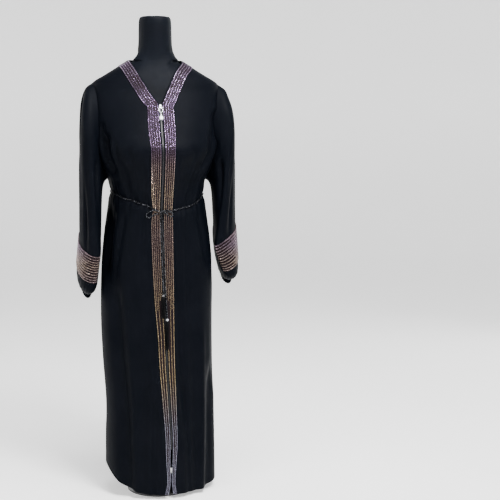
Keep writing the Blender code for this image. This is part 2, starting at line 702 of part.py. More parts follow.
def cord(name, points, diameter, material):
    """A round cord along the points, with closed ends."""
    line = bpy.data.curves.new(name, "CURVE")
    line.dimensions = "3D"
    line.bevel_depth = diameter / 2
    line.bevel_resolution = 2
    line.use_fill_caps = True
    line.materials.append(material)
    spline = line.splines.new("POLY")
    spline.points.add(len(points) - 1)
    for target, point in zip(spline.points, points):
        target.co = (*map(float, point), 1.0)
    made = bpy.data.objects.new(name, line)
    bpy.context.collection.objects.link(made)
    return made


def tree_of(objects):
    """A search tree of the objects' skins in world space."""
    points, faces = [], []
    bpy.context.view_layer.update()
    shown = bpy.context.evaluated_depsgraph_get()
    for thing in objects:
        start = len(points)
        shape = thing.evaluated_get(shown).to_mesh()
        points += [thing.matrix_world @ v.co for v in shape.vertices]
        faces += [tuple(i + start for i in p.vertices) for p in shape.polygons]
    return BVHTree.FromPolygons(points, faces)


def seat(tree, start, way, clearance):
    """The nearest place along a way from start at which a round of that clearance clears the tree."""
    start, way = Vector(start), Vector(way).normalized()
    far = 0.05
    for step in range(101):
        reach = far * (1 - step / 100)
        if tree.find_nearest(start + way * reach)[3] < clearance:
            return np.array(start + way * (reach + far / 100))
    return np.array(start)


class Frame:
    """Axes on the cloth at a point of the centre front: across, up along the cloth and outward."""

    def __init__(self, point, up, out):
        self.point = np.array(point, float)
        self.out = np.array(out, float) / np.linalg.norm(out)
        self.across = np.array([1.0, 0.0, 0.0])
        self.up = np.cross(self.out, self.across)
        self.up = self.up / np.linalg.norm(self.up)
        if np.dot(self.up, up) < 0:
            self.up = -self.up

    def at(self, across, up, out):
        return self.point + across * self.across + up * self.up + out * self.out


def build_cloth():
    """The shared surface with its panels, and the grids that other pieces are set on."""
    cloth = Cloth()
    left, neck_row = front_grid(1)
    right, _ = front_grid(-1)
    back = back_grid(left, right)
    for k in range(len(HEM_ROWS) + 1):
        back[k][0], back[k][-1] = left[k][-1], right[k][-1]
    cloth.grid("front_left", left, outward=True)
    cloth.grid("front_right", right, outward=False)
    cloth.grid("back", back, outward=True)
    first = len(HEM_ROWS)
    sleeves = {}
    for name, side, front, rear, rows in (("sleeve_left", 1, left[:, -1], back[:, 0], SLEEVE_LEFT),
                                          ("sleeve_right", -1, right[:, -1], back[:, -1], SLEEVE_RIGHT)):
        armhole = np.concatenate([front[first:], rear[first + 1:-1][::-1]])
        loops = sleeve_loops(rows, side, armhole)
        cloth.grid(name, loops[:CASING_LOOP + 1], outward=side < 0, closed=True)
        cloth.grid(name.replace("sleeve", "cuff"), loops[CASING_LOOP:], outward=side < 0, closed=True)
        sleeves[name] = loops
    return cloth, left, right, neck_row, sleeves


def part_faces(cloth, rows):
    """The triangles of a panel that lie between the given rows of its points."""
    inside = {cloth.add(point) for row in rows for point in row}
    return [face for faces in cloth.panels.values() for face in faces if all(i in inside for i in face)]


def make_panels(cloth, left, right, sleeves, black, stones):
    points, normals = cloth.normals()
    made = {}
    for name, faces in cloth.panels.items():
        pull = SLEEVE_PULL if name.startswith("sleeve") else GAP / 2
        made[name] = wall(name, faces, points, normals, -CLOTH / 2, CLOTH / 2, pull, black)
    low = CLOTH / 2 + GAP
    for name, grid in (("front_band_left", left), ("front_band_right", right)):
        faces = part_faces(cloth, grid[:, 1:4])
        made[name] = wall(name, faces, points, normals, low, low + BAND_THICK, GAP, stones)
    for side in ("left", "right"):
        loops = sleeves["sleeve_" + side][BAND_FIRST_LOOP:BAND_LAST_LOOP + 1]
        rows = [loop[BAND_FIRST_COLUMN:BAND_LAST_COLUMN + 1] for loop in loops]
        faces = part_faces(cloth, rows)
        name = "sleeve_band_" + side
        made[name] = wall(name, faces, points, normals, low, low + BAND_THICK, GAP, stones)
    return made, points, normals


def make_zip(cloth, left, right, normals, neck_row, tape_material):
    """Two tapes behind the edges of the fronts, each with half of the closed teeth in front."""
    made = {}
    first = int(np.argmin(np.abs(left[:, 0, 2] - ZIP_BOTTOM_Z)))
    behind = -(CLOTH / 2 + GAP)
    section = ((TAPE_HALF, behind - TAPE_THICK), (TAPE_HALF, behind), (TEETH_HALF, behind),
               (TEETH_HALF, 0.0002), (MID_GAP, 0.0002), (MID_GAP, behind - TAPE_THICK))
    for name, side in (("zip_tape_left", 1), ("zip_tape_right", -1)):
        grid = left if side > 0 else right
        rings = []
        for row in range(first, neck_row + 1):
            middle = (left[row, 0] + right[row, 0]) / 2
            normal = normals[cloth.add(left[row, 0])] + normals[cloth.add(right[row, 0])]
            normal[0] = 0
            normal = normal / np.linalg.norm(normal)
            edge, next_point = grid[row, 0], grid[row, 2]
            gap = np.linalg.norm(edge - middle)
            ring = []
            for distance, depth in section:
                if distance <= gap:
                    base = middle + (edge - middle) * distance / gap
                else:
                    way = (next_point - edge) / np.linalg.norm(next_point - edge)
                    base = edge + way * (distance - gap)
                ring.append(base + normal * depth)
            rings.append(ring)
        made[name] = loft(name, rings, tape_material)
    return made


def ring_mesh(frame, half_across, half_up, drop, out, wire, steps, sides):
    """Points of an oval wire ring in a plane parallel to the cloth, with its middle a drop below the frame."""
    rings = []
    for k in range(steps):
        turn = 2 * math.pi * k / steps
        middle = frame.at(half_across * math.sin(turn), half_up * math.cos(turn) - drop, out)
        way = frame.across * math.sin(turn) / half_across + frame.up * math.cos(turn) / half_up
        way = way / np.linalg.norm(way)
        ring = []
        for s in range(sides):
            around = 2 * math.pi * s / sides
            ring.append(middle + wire / 2 * (way * math.cos(around) + frame.out * math.sin(around)))
        rings.append(ring)
    return rings


def rod_rings(points, across, radius, sides):
    """Rings of points round a rod that bends in the plane square to across."""
    points = np.array(points)
    rings = []
    for k, point in enumerate(points):
        along = points[min(k + 1, len(points) - 1)] - points[max(k - 1, 0)]
        way = np.cross(along, across)
        way = way / np.linalg.norm(way)
        turns = 2 * math.pi * np.arange(sides) / sides
        rings.append([point + radius * (across * math.cos(t) + way * math.sin(t)) for t in turns])
    return rings


def closed_tube(name, rings, material):
    """A ring-shaped tube through rings of points."""
    count, sides = len(rings), len(rings[0])
    points = [p for ring in rings for p in ring]
    faces = []
    for r in range(count):
        q = (r + 1) % count
        for c in range(sides):
            d = (c + 1) % sides
            faces.append((r * sides + c, r * sides + d, q * sides + d, q * sides + c))
    made = mesh_object(name, points, faces, material)
    face_out(made)
    return made


def rounded_block(name, frame, size, up, out, material, bevel, segments=2):
    """A block with rounded edges, its middle at the given place in a frame."""
    shape = bmesh.new()
    bmesh.ops.create_cube(shape, size=1.0)
    for v in shape.verts:
        v.co = Vector((v.co.x * size[0], v.co.y * size[1], v.co.z * size[2]))
    bmesh.ops.bevel(shape, geom=shape.edges[:], offset=bevel, segments=segments, affect="EDGES", profile=0.5)
    for v in shape.verts:
        v.co = Vector(frame.at(v.co.x, v.co.y + up, v.co.z + out))
    bmesh.ops.recalc_face_normals(shape, faces=shape.faces)
    data = bpy.data.meshes.new(name)
    shape.to_mesh(data)
    shape.free()
    data.materials.append(material)
    data.shade_smooth()
    data.set_sharp_from_angle(angle=math.radians(35))
    made = bpy.data.objects.new(name, data)
    bpy.context.collection.objects.link(made)
    return made


def ball(name, centre_point, half_axes, material, segments=12, rings=8):
    shape = bmesh.new()
    bmesh.ops.create_uvsphere(shape, u_segments=segments, v_segments=rings, radius=1.0)
    for v in shape.verts:
        v.co = Vector((v.co.x * half_axes[0], v.co.y * half_axes[1], v.co.z * half_axes[2]))
    data = bpy.data.meshes.new(name)
    shape.to_mesh(data)
    shape.free()
    data.materials.append(material)
    data.shade_smooth()
    made = bpy.data.objects.new(name, data)
    made.location = Vector(centre_point)
    bpy.context.collection.objects.link(made)
    return made


def join_parts(target, others):
    """Unites the others with the target, so that they are one body."""
    for other in others:
        union = target.modifiers.new("union", "BOOLEAN")
        union.operation = "UNION"
        union.solver = "EXACT"
        union.object = other
        other.hide_render = True
        other.display_type = "WIRE"


def origin_to(made, point):
    """Moves a mesh object's origin to a point, leaving its shape where it is."""
    offset = Vector(point) - made.location
    for v in made.data.vertices:
        v.co = v.co - offset
    made.location = Vector(point)


def make_pull(cloth, left, right, normals, neck_row, metal, crystal):
    """The slider with its bail, the ring hung in it, and the drop hung in the ring."""
    low, high = neck_row - 1, neck_row
    top = (left[high, 0] + right[high, 0]) / 2
    bottom = (left[low, 0] + right[low, 0]) / 2
    up = (top - bottom) / np.linalg.norm(top - bottom)
    out = np.cross(up, [1.0, 0.0, 0.0])
    out = out if out[1] < 0 else -out
    frame = Frame(top - up * SLIDER_DOWN, up, out)
    slider = rounded_block("zip_slider", frame, SLIDER_SIZE, 0.0, SLIDER_OUT + SLIDER_SIZE[2] / 2, metal,
                           SLIDER_BEVEL)
    bail_out = SLIDER_OUT + SLIDER_SIZE[2] - BAIL_SINK
    turns = math.pi * np.arange(9) / 8
    arch = [frame.at(0.0, BAIL_HALF * math.cos(t), bail_out + BAIL_HEIGHT * math.sin(t)) for t in turns]
    bail = loft("zip_bail_guide", rod_rings(arch, frame.across, WIRE / 2, 8), metal)
    join_parts(slider, [bail])
    hinge_out = bail_out + BAIL_HEIGHT - WIRE - GAP
    ring = closed_tube("zip_ring", ring_mesh(frame, RING_HALF[0], RING_HALF[1], RING_HALF[1], hinge_out, WIRE,
                                             20, 6), metal)
    hinge = frame.at(0.0, 0.0, hinge_out)
    origin_to(ring, hinge)
    ring_low = 2 * RING_HALF[1]
    drop_hinge = frame.at(0.0, -ring_low, hinge_out)
    loop_middle = frame.at(0.0, WIRE / 2 + LOOP_DROP - ring_low - DROP_LOOP_HALF, hinge_out)
    loop_rings = []
    for turn in 2 * math.pi * np.arange(10) / 10:
        way = frame.up * math.cos(turn) + frame.out * math.sin(turn)
        loop_rings.append([loop_middle + way * DROP_LOOP_HALF
                           + LOOP_RADIUS * (way * math.cos(a) + frame.across * math.sin(a))
                           for a in np.arange(6) * math.pi / 3])
    drop = closed_tube("zip_drop", loop_rings, metal)
    bead_down = ring_low + 2 * DROP_LOOP_HALF + BEAD_RADIUS - WIRE / 2 - BEAD_SINK
    bead = ball("zip_bead_guide", frame.at(0.0, -bead_down, hinge_out), (BEAD_RADIUS,) * 3, metal, 10, 6)
    neck_down = bead_down + BEAD_RADIUS + NECK_DOWN
    neck = rounded_block("zip_neck_guide", frame, NECK_SIZE, -neck_down, hinge_out, metal, NECK_BEVEL, 1)
    join_parts(drop, [bead, neck])
    origin_to(drop, drop_hinge)
    crystal_down = bead_down + BEAD_RADIUS + CRYSTAL_DOWN + GAP + CRYSTAL[1] / 2
    stone = rounded_block("zip_crystal", frame, CRYSTAL, -crystal_down, hinge_out, crystal, CRYSTAL_BEVEL, 1)
    origin_to(stone, drop_hinge)
    return [slider, ring, drop, stone], hinge, drop_hinge


def make_belt(made, braid):
    """The cord round the waist and the knot that closes it."""
    tree = tree_of([made[name] for name in made if not name.startswith(("sleeve", "cuff"))])
    clear = CORD / 2 + BELT_SLACK
    angles = BELT_TURN + np.linspace(BELT_START, 360 - BELT_START, (BELT_POINTS - 1) * BELT_FINER + 1)
    starts = surface(angles, np.full(len(angles), WAIST_Z))
    ways = np.stack([np.sin(np.radians(angles)), -np.cos(np.radians(angles)), 0 * angles], axis=-1)
    reach = [np.dot(seat(tree, p, way, clear) - p, way) for p, way in zip(starts, ways)]
    path = []
    for k in range(0, len(angles), BELT_FINER):
        most = max(reach[max(k - BELT_FINER, 0):k + BELT_FINER + 1])
        path.append(starts[k] + ways[k] * most)
    belt = cord("belt_waist", path, CORD, braid)
    knot_place = (path[0] + path[-1]) / 2 + np.array(KNOT_OUT)
    ball("belt_knot", knot_place, KNOT_HALF, braid, 10, 8)
    return belt, knot_place


def make_bows(tree, knot_place, braid):
    """Two drooping loops of the bow, whose ends stop at the knot."""
    made = []
    for name, side, reach, drop in BOWS:
        start, end = (knot_place + np.array([side * (KNOT_HALF[0] + BOW_GAP), 0.0, up]) for up in BOW_ROOTS)
        line = [start] + [start + np.array([side * reach * x, 0.0, drop * z]) for x, z in BOW_LINE] + [end]
        path = smooth_path(line, BOW_STEP)
        path = [seat(tree, (p[0], p[1] + SEAT_BACK, p[2]), (0, -1, 0), CORD / 2 + 2 * BELT_SLACK) for p in path]
        made.append(cord(name, path, CORD, braid))
    return made


def tassel(name, top, cap_bottom, end_z, material):
    """A turned cap with separate strands that grow out of its underside."""
    rings = []
    sides = STRANDS
    for share, radius in CAP_LINE:
        z = top[2] + (cap_bottom - top[2]) * share
        rings.append([(top[0] + radius * math.cos(2 * math.pi * k / sides),
                       top[1] + radius * math.sin(2 * math.pi * k / sides), z) for k in range(sides)])
    shape = bmesh.new()
    loops = [[shape.verts.new(p) for p in ring] for ring in rings]
    shape.faces.new(loops[0])
    for upper, lower in zip(loops, loops[1:]):
        for k in range(sides):
            m = (k + 1) % sides
            shape.faces.new((upper[k], upper[m], lower[m], lower[k]))
    inner = [shape.verts.new((top[0] + ROOT_INNER * math.cos(2 * math.pi * k / sides),
                              top[1] + ROOT_INNER * math.sin(2 * math.pi * k / sides), cap_bottom))
             for k in range(sides)]
    roots = []
    for k in range(sides):
        m = (k + 1) % sides
        roots.append(shape.faces.new((loops[-1][k], loops[-1][m], inner[m], inner[k])))
    shape.faces.new(inner)
    bmesh.ops.recalc_face_normals(shape, faces=shape.faces)
    bmesh.ops.inset_individual(shape, faces=roots, thickness=STRAND_INSET)
    for k, root in enumerate(roots):
        turn = 2 * math.pi * (k + 0.5) / sides
        reach = STRAND_SPREAD * (0.80 + 0.20 * math.sin(2.3 * k)) - ROOT_MIDDLE
        for share in (STRAND_MIDDLE, 1.0):
            face = bmesh.ops.extrude_discrete_faces(shape, faces=[root])["faces"][0]
            root = face
            z = cap_bottom + (end_z + STRAND_UNEVEN * math.sin(1.7 * k) - cap_bottom) * share
            old = face.calc_center_median()
            out = reach * share
            new = Vector((top[0] + (ROOT_MIDDLE + out) * math.cos(turn),
                          top[1] + (ROOT_MIDDLE + out) * math.sin(turn), z))
            for v in face.verts:
                v.co = new + (v.co - old)
    bmesh.ops.recalc_face_normals(shape, faces=shape.faces)
    data = bpy.data.meshes.new(name)
    shape.to_mesh(data)
    shape.free()
    data.materials.append(material)
    data.shade_smooth()
    data.set_sharp_from_angle(angle=math.radians(50))
    made = bpy.data.objects.new(name, data)
    bpy.context.collection.objects.link(made)
    return made


def make_ends(tree, knot_place, braid, bead_material, tassel_material):
    """The two hanging ends of the belt, each through a bead to its tassel."""
    for side, lateral, bead_z, bead_radius, end_z in BELT_ENDS:
        sign = -1 if side == "right" else 1
        hang_y = seat(tree, (lateral, -0.10, bead_z), (0, -1, 0), bead_radius + GAP)[1]
        tassel_y = seat(tree, (lateral, -0.10, end_z), (0, -1, 0), STRAND_SPREAD + STRAND_CLEAR)[1]
        hang_y = min(hang_y, tassel_y)
        top = knot_place + np.array([sign * 0.0026, -0.0012, -(KNOT_HALF[2] + 0.0002)])
        stop = np.array([lateral, hang_y, bead_z + bead_radius + GAP])
        line = [top + (stop - top) * share + np.array([sign * sway, -out, 0.0]) for share, sway, out in END_LINE]
        cord("belt_end_" + side, smooth_path(line, END_STEP), CORD, braid)
        ball("bead_" + side, (lateral, hang_y, bead_z), (bead_radius,) * 3, bead_material, 12, 8)
        cap_top = bead_z - bead_radius - GAP
        tassel("tassel_" + side, (lateral, hang_y, cap_top), cap_top - CAP_HEIGHT, end_z, tassel_material)


def form_rows(seam):
    """Rows of the torso from the hips to the neck; between them its shoulders follow the cloth's seam."""
    own = table(FORM_LOW + FORM_NECK, FORM_COLUMNS)
    rows = list(FORM_LOW)
    for x, _, z in seam[-2::-1]:
        front, back = (float(smooth_value(own["height"], own[name], z)) for name in ("front", "back"))
        rows.append((z - FORM_INSET, abs(x) - FORM_INSET, front, back, 2.1))
    return rows + list(FORM_NECK)


def form_point(row, angle, radius):
    sine, cosine = math.sin(math.radians(angle)), math.cos(math.radians(angle))
    return Vector((radius * sine, AXIS_Y - radius * cosine, row[0]))


def meets_cloth(tree, point):
    """Whether cloth lies between the torso's axis and a point, or just past it."""
    start = Vector((0.0, AXIS_Y, point.z))
    return tree.ray_cast(start, point - start, (point - start).length + FORM_CLEAR)[0] is not None


def make_form(tree, seam, cover, metal):
    """The torso under the cloth, which rests on its shoulders, with a plain pole and a round base."""
    rows = form_rows(seam)
    angles = np.linspace(0, 360, FORM_SIDES, endpoint=False)
    sines, cosines = np.sin(np.radians(angles)), np.cos(np.radians(angles))
    radii = np.array([oval_radius(sines, cosines, *row[1:]) for row in rows])
    for _ in range(FORM_ROUNDS):
        skin = [[form_point(row, angle, radius) for angle, radius in zip(angles, ring)]
                for row, ring in zip(rows, radii)]
        pressed = set()
        for r in range(len(rows) - 1):
            for c in range(FORM_SIDES):
                corners = ((r, c), (r, (c + 1) % FORM_SIDES), (r + 1, (c + 1) % FORM_SIDES), (r + 1, c))
                places = [skin[i][k] for i, k in corners]
                tests = places + [(places[i] + places[(i + 1) % 4]) / 2 for i in range(4)]
                tests += [(places[0] + places[2]) / 2, (places[1] + places[3]) / 2]
                if any(meets_cloth(tree, point) for point in tests):
                    pressed.update(corners)
        for r, c in pressed:
            radii[r][c] -= FORM_STEP
        if not pressed:
            break
    loft("form_torso", skin, cover)
    low, high = BASE_HEIGHT + GAP, FORM_LOW[0][0] - GAP
    loft("form_pole", [turned_ring(POLE_RADIUS, z, POLE_SIDES) for z in (low, high)], metal)
    rings = [turned_ring(BASE_RADIUS - inset, BASE_HEIGHT * share, BASE_SIDES) for share, inset in BASE_LINE]
    loft("form_base", rings, metal)


def turned_ring(radius, z, sides):
    """A level circle of points round the stand's axis."""
    turns = 2 * math.pi * np.arange(sides) / sides
    return [(radius * math.cos(t), radius * math.sin(t), z) for t in turns]


def main():
    clear_scene()
    black = finish("black crepe", (0.012, 0.013, 0.016), 0.55)
    stones = finish("small stones", (0.42, 0.36, 0.34), 0.22)
    tape = finish("zip tape", (0.014, 0.014, 0.017), 0.6)
    metal = finish("silver metal", (0.70, 0.70, 0.72), 0.22, 1.0)
    crystal = finish("clear crystal", (0.85, 0.87, 0.90), 0.05)
    braid = finish("braided cord", (0.05, 0.05, 0.06), 0.5)
    fringe = finish("black fringe", (0.012, 0.012, 0.015), 0.6)
    cover = finish("form cover", (0.035, 0.042, 0.065), 0.55)
    painted = finish("stand paint", (0.02, 0.02, 0.022), 0.4)

    cloth, left, right, neck_row, sleeves = build_cloth()
    made, _, normals = make_panels(cloth, left, right, sleeves, black, stones)
    made.update(make_zip(cloth, left, right, normals, neck_row, tape))
    make_pull(cloth, left, right, normals, neck_row, metal, crystal)
    tree = tree_of(made.values())
    make_form(tree, left[-1], cover, painted)
    belt, knot_place = make_belt(made, braid)
    tree = tree_of([*made.values(), belt])
    make_bows(tree, knot_place, braid)
    make_ends(tree, knot_place, braid, crystal, fringe)


main()
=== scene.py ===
"""Looks of the abaya on its dress form: cloth, small stones, zip, braided belt, beads and tassels.

Metres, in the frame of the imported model: +Z up, the garment's front faces -Y and the wearer's left is +X.
The cloth repeats the model's surface with more points and adds its finer folds and creases.
"""

import json
import math

import bpy
import bmesh
import numpy as np
from mathutils import Vector
from mathutils.bvhtree import BVHTree
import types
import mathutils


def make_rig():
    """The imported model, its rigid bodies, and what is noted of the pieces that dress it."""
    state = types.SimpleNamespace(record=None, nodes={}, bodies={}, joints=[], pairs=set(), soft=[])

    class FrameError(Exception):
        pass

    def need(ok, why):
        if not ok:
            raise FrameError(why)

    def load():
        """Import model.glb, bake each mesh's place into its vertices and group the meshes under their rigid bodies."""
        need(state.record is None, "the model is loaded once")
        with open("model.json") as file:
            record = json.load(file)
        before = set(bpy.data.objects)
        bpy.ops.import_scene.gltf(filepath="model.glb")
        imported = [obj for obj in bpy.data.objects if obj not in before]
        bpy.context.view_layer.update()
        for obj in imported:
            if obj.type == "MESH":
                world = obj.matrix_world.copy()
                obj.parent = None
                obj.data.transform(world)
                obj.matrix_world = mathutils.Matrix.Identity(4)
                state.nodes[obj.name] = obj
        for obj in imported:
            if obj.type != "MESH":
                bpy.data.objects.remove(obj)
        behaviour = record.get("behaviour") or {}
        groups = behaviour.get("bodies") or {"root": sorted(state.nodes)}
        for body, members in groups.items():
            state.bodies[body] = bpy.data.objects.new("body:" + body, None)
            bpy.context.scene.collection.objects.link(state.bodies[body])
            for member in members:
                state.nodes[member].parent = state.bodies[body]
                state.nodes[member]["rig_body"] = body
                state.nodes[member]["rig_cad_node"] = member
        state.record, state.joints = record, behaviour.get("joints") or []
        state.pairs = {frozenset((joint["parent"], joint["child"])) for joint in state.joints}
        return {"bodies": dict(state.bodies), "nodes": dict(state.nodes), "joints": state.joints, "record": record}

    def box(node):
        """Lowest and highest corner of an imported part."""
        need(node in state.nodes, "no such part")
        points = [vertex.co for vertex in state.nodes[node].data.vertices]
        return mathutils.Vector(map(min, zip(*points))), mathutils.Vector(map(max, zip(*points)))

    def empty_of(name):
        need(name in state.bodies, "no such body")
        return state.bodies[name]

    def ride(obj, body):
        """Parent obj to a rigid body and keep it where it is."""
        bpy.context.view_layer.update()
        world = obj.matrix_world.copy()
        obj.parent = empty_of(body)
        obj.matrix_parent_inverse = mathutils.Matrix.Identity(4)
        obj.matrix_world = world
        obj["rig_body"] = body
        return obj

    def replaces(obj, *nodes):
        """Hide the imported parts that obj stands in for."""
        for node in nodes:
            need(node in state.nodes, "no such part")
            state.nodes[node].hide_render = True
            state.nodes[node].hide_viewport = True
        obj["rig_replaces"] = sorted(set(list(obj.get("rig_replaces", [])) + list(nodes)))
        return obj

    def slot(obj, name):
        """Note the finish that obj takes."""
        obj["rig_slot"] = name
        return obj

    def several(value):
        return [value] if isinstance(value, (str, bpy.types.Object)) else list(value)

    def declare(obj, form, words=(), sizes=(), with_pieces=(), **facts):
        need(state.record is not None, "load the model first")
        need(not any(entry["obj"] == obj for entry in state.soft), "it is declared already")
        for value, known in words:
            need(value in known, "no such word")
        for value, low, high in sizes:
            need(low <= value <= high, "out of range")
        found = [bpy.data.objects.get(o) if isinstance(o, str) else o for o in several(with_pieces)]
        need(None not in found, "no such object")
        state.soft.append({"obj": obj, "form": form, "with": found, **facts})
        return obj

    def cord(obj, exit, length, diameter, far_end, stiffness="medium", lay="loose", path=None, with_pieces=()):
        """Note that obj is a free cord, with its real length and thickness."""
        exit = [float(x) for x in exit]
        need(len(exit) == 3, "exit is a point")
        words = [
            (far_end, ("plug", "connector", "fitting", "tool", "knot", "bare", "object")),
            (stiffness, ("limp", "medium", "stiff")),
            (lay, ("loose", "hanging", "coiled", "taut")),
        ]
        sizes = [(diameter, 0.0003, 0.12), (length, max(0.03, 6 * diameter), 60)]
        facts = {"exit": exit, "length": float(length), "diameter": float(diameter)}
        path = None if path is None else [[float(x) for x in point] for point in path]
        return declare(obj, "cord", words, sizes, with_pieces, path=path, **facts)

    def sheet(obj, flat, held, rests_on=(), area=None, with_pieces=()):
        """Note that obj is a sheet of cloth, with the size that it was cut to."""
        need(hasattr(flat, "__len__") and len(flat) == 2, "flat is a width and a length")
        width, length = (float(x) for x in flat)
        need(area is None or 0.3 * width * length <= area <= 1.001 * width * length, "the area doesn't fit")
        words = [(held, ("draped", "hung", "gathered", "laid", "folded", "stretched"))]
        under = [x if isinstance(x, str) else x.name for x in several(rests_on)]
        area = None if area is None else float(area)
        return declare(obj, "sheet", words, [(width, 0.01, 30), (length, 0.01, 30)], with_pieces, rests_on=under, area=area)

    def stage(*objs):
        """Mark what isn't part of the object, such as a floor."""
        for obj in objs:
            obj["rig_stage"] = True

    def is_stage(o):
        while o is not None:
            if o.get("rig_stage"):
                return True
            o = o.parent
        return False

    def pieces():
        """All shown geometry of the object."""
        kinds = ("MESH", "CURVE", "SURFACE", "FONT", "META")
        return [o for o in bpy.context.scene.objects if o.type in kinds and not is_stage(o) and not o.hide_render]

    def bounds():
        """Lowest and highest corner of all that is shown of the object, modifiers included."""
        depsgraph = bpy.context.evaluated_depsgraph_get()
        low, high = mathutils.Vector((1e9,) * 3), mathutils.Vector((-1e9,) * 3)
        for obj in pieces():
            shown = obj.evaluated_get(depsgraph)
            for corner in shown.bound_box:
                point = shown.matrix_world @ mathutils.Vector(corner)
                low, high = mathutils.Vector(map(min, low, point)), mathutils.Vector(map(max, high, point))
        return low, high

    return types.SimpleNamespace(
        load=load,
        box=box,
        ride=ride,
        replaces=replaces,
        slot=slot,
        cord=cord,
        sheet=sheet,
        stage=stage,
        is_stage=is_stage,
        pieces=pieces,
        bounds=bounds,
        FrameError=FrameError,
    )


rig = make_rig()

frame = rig.load()
cad_low, cad_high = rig.bounds()

# Cloth
CLOTH = 0.0014
GAP = 0.0003
BAND_THICK = 0.0010
AXIS_Y = 0.012

# Garment heights above the floor
UNDERARM_Z = 1.045
TIP_Z = 1.362
NECK_POINT_Z = 1.437
BACK_NECK_Z = 1.441
NECK_LOW_Z = 1.294
WAIST_Z = 0.977

# The belt's line drops to its knot, stands highest at the sides and draws the cloth in.
# Columns: angle from centre front, rise above WAIST_Z
BELT_COLUMNS = ("angle", "rise")
BELT_LINE = (
    (-180, 0.020),
    (-140, 0.018),
    (-105, 0.026),
    (-78, 0.038),
    (-61, 0.024),
    (-33, 0.004),
    (-20, -0.007),
    (0, -0.029),
    (21, -0.019),
    (42, -0.008),
    (61, 0.013),
    (78, 0.022),
    (105, 0.014),
    (140, 0.013),
    (180, 0.020),
)
BELT_REACH = 0.055
CINCH = 0.006
CINCH_REACH = 0.016

# Coarse grid of the panels, and the steps between its lines
HEM_ROWS = (0.014, 0.078, 0.145, 0.215, 0.290, 0.365, 0.440, 0.515, 0.590, 0.660, 0.725, 0.785, 0.840,
            0.890, 0.930, 0.957, WAIST_Z, 0.998, 1.021, UNDERARM_Z)
UPPER_ROWS = (0.000, 0.080, 0.165, 0.255, 0.345, 0.435, 0.530, 0.635, 0.705, 0.775, 0.850, 0.930, 1.000)
LOW_STEPS = 10
UPPER_STEPS = 5
SIDE_COLUMNS = 6
NECK_COLUMNS = 3
BAND_STEPS = 5
SIDE_STEPS = 7
ARM_FRONT_DEGREES = 22.0
ARM_BACK_DEGREES = 13.0
TOP_TURN = 1.5
# Angles that a front's edge is looked for at, and the points of a row's dense line
FRONT_ANGLES = (-30, 90, 241)
ROW_POINTS = 161

# Width across the centre front: the plain edge beside the zip, then the band
PLAIN_EDGE = 0.004
BAND_WIDTH = 0.036

# The fronts' edges are drawn in below the waist, so their width there is a share of the widths above
TAPER_COLUMNS = ("height", "share")
FRONT_TAPER = (
    (0.014, 0.26),
    (0.090, 0.28),
    (0.160, 0.36),
    (0.220, 0.40),
    (0.312, 0.45),
    (0.450, 0.53),
    (0.545, 0.57),
    (0.636, 0.66),
    (0.730, 0.72),
    (0.910, 0.78),
    (1.045, 0.80),
    (1.133, 0.86),
    (1.215, 1.00),
)

# Body of the garment, a row for each height
BODY_COLUMNS = ("height", "half_width", "drift", "front", "back", "roundness")
BODY = (
    (0.000, 0.1860, 0.004, -0.137, 0.158, 2.25),
    (0.140, 0.1850, 0.004, -0.137, 0.158, 2.25),
    (0.330, 0.1835, 0.0035, -0.136, 0.157, 2.20),
    (0.445, 0.1870, 0.000, -0.136, 0.155, 2.20),
    (0.580, 0.1895, -0.002, -0.136, 0.153, 2.20),
    (0.710, 0.1895, 0.000, -0.137, 0.146, 2.20),
    (0.800, 0.1850, 0.0005, -0.137, 0.140, 2.20),
    (0.865, 0.1770, 0.0005, -0.137, 0.132, 2.20),
    (0.930, 0.1660, 0.000, -0.136, 0.120, 2.20),
    (0.975, 0.1590, 0.000, -0.137, 0.114, 2.20),
    (1.015, 0.1555, 0.000, -0.149, 0.111, 2.20),
    (1.045, 0.1580, 0.000, -0.160, 0.112, 2.25),
    (1.080, 0.1760, 0.000, -0.171, 0.115, 2.30),
    (1.110, 0.1920, 0.000, -0.179, 0.118, 2.30),
    (1.145, 0.2030, 0.000, -0.183, 0.121, 2.35),
    (1.200, 0.2110, 0.000, -0.158, 0.127, 2.35),
    (1.255, 0.2145, 0.000, -0.131, 0.124, 2.30),
    (1.300, 0.2145, 0.000, -0.112, 0.118, 2.25),
    (1.340, 0.2110, 0.000, -0.093, 0.105, 2.20),
    (1.362, 0.2050, 0.000, -0.086, 0.098, 2.20),
    (1.390, 0.1620, 0.000, -0.077, 0.084, 2.20),
    (1.415, 0.1220, 0.000, -0.057, 0.071, 2.20),
    (1.437, 0.0860, 0.000, -0.034, 0.058, 2.20),
    (1.445, 0.0740, 0.000, -0.030, 0.056, 2.20),
)

# Line of the centre front, and the right and left edges of the neck opening
CENTRE_COLUMNS = ("height", "offset", "half_gap")
CENTRE = (
    (0.014, 0.0185, 0.0080),
    (0.050, 0.0200, 0.0026),
    (0.120, 0.0210, 0.0034),
    (0.190, 0.0222, 0.0035),
    (0.312, 0.0172, 0.0035),
    (0.450, 0.0100, 0.0035),
    (0.545, 0.0074, 0.0035),
    (0.636, 0.0034, 0.0035),
    (0.730, 0.0006, 0.0035),
    (0.820, -0.0016, 0.0035),
    (1.030, -0.0020, 0.0035),
    (1.300, -0.0020, 0.0035),
)
NECK_EDGE_COLUMNS = ("share", "right", "left")
NECK_EDGE = (
    (0.00, 0.0055, 0.0015),
    (0.11, 0.0190, 0.0105),
    (0.43, 0.0450, 0.0325),
    (0.77, 0.0720, 0.0590),
    (0.90, 0.0805, 0.0765),
    (1.00, 0.0860, 0.0860),
)

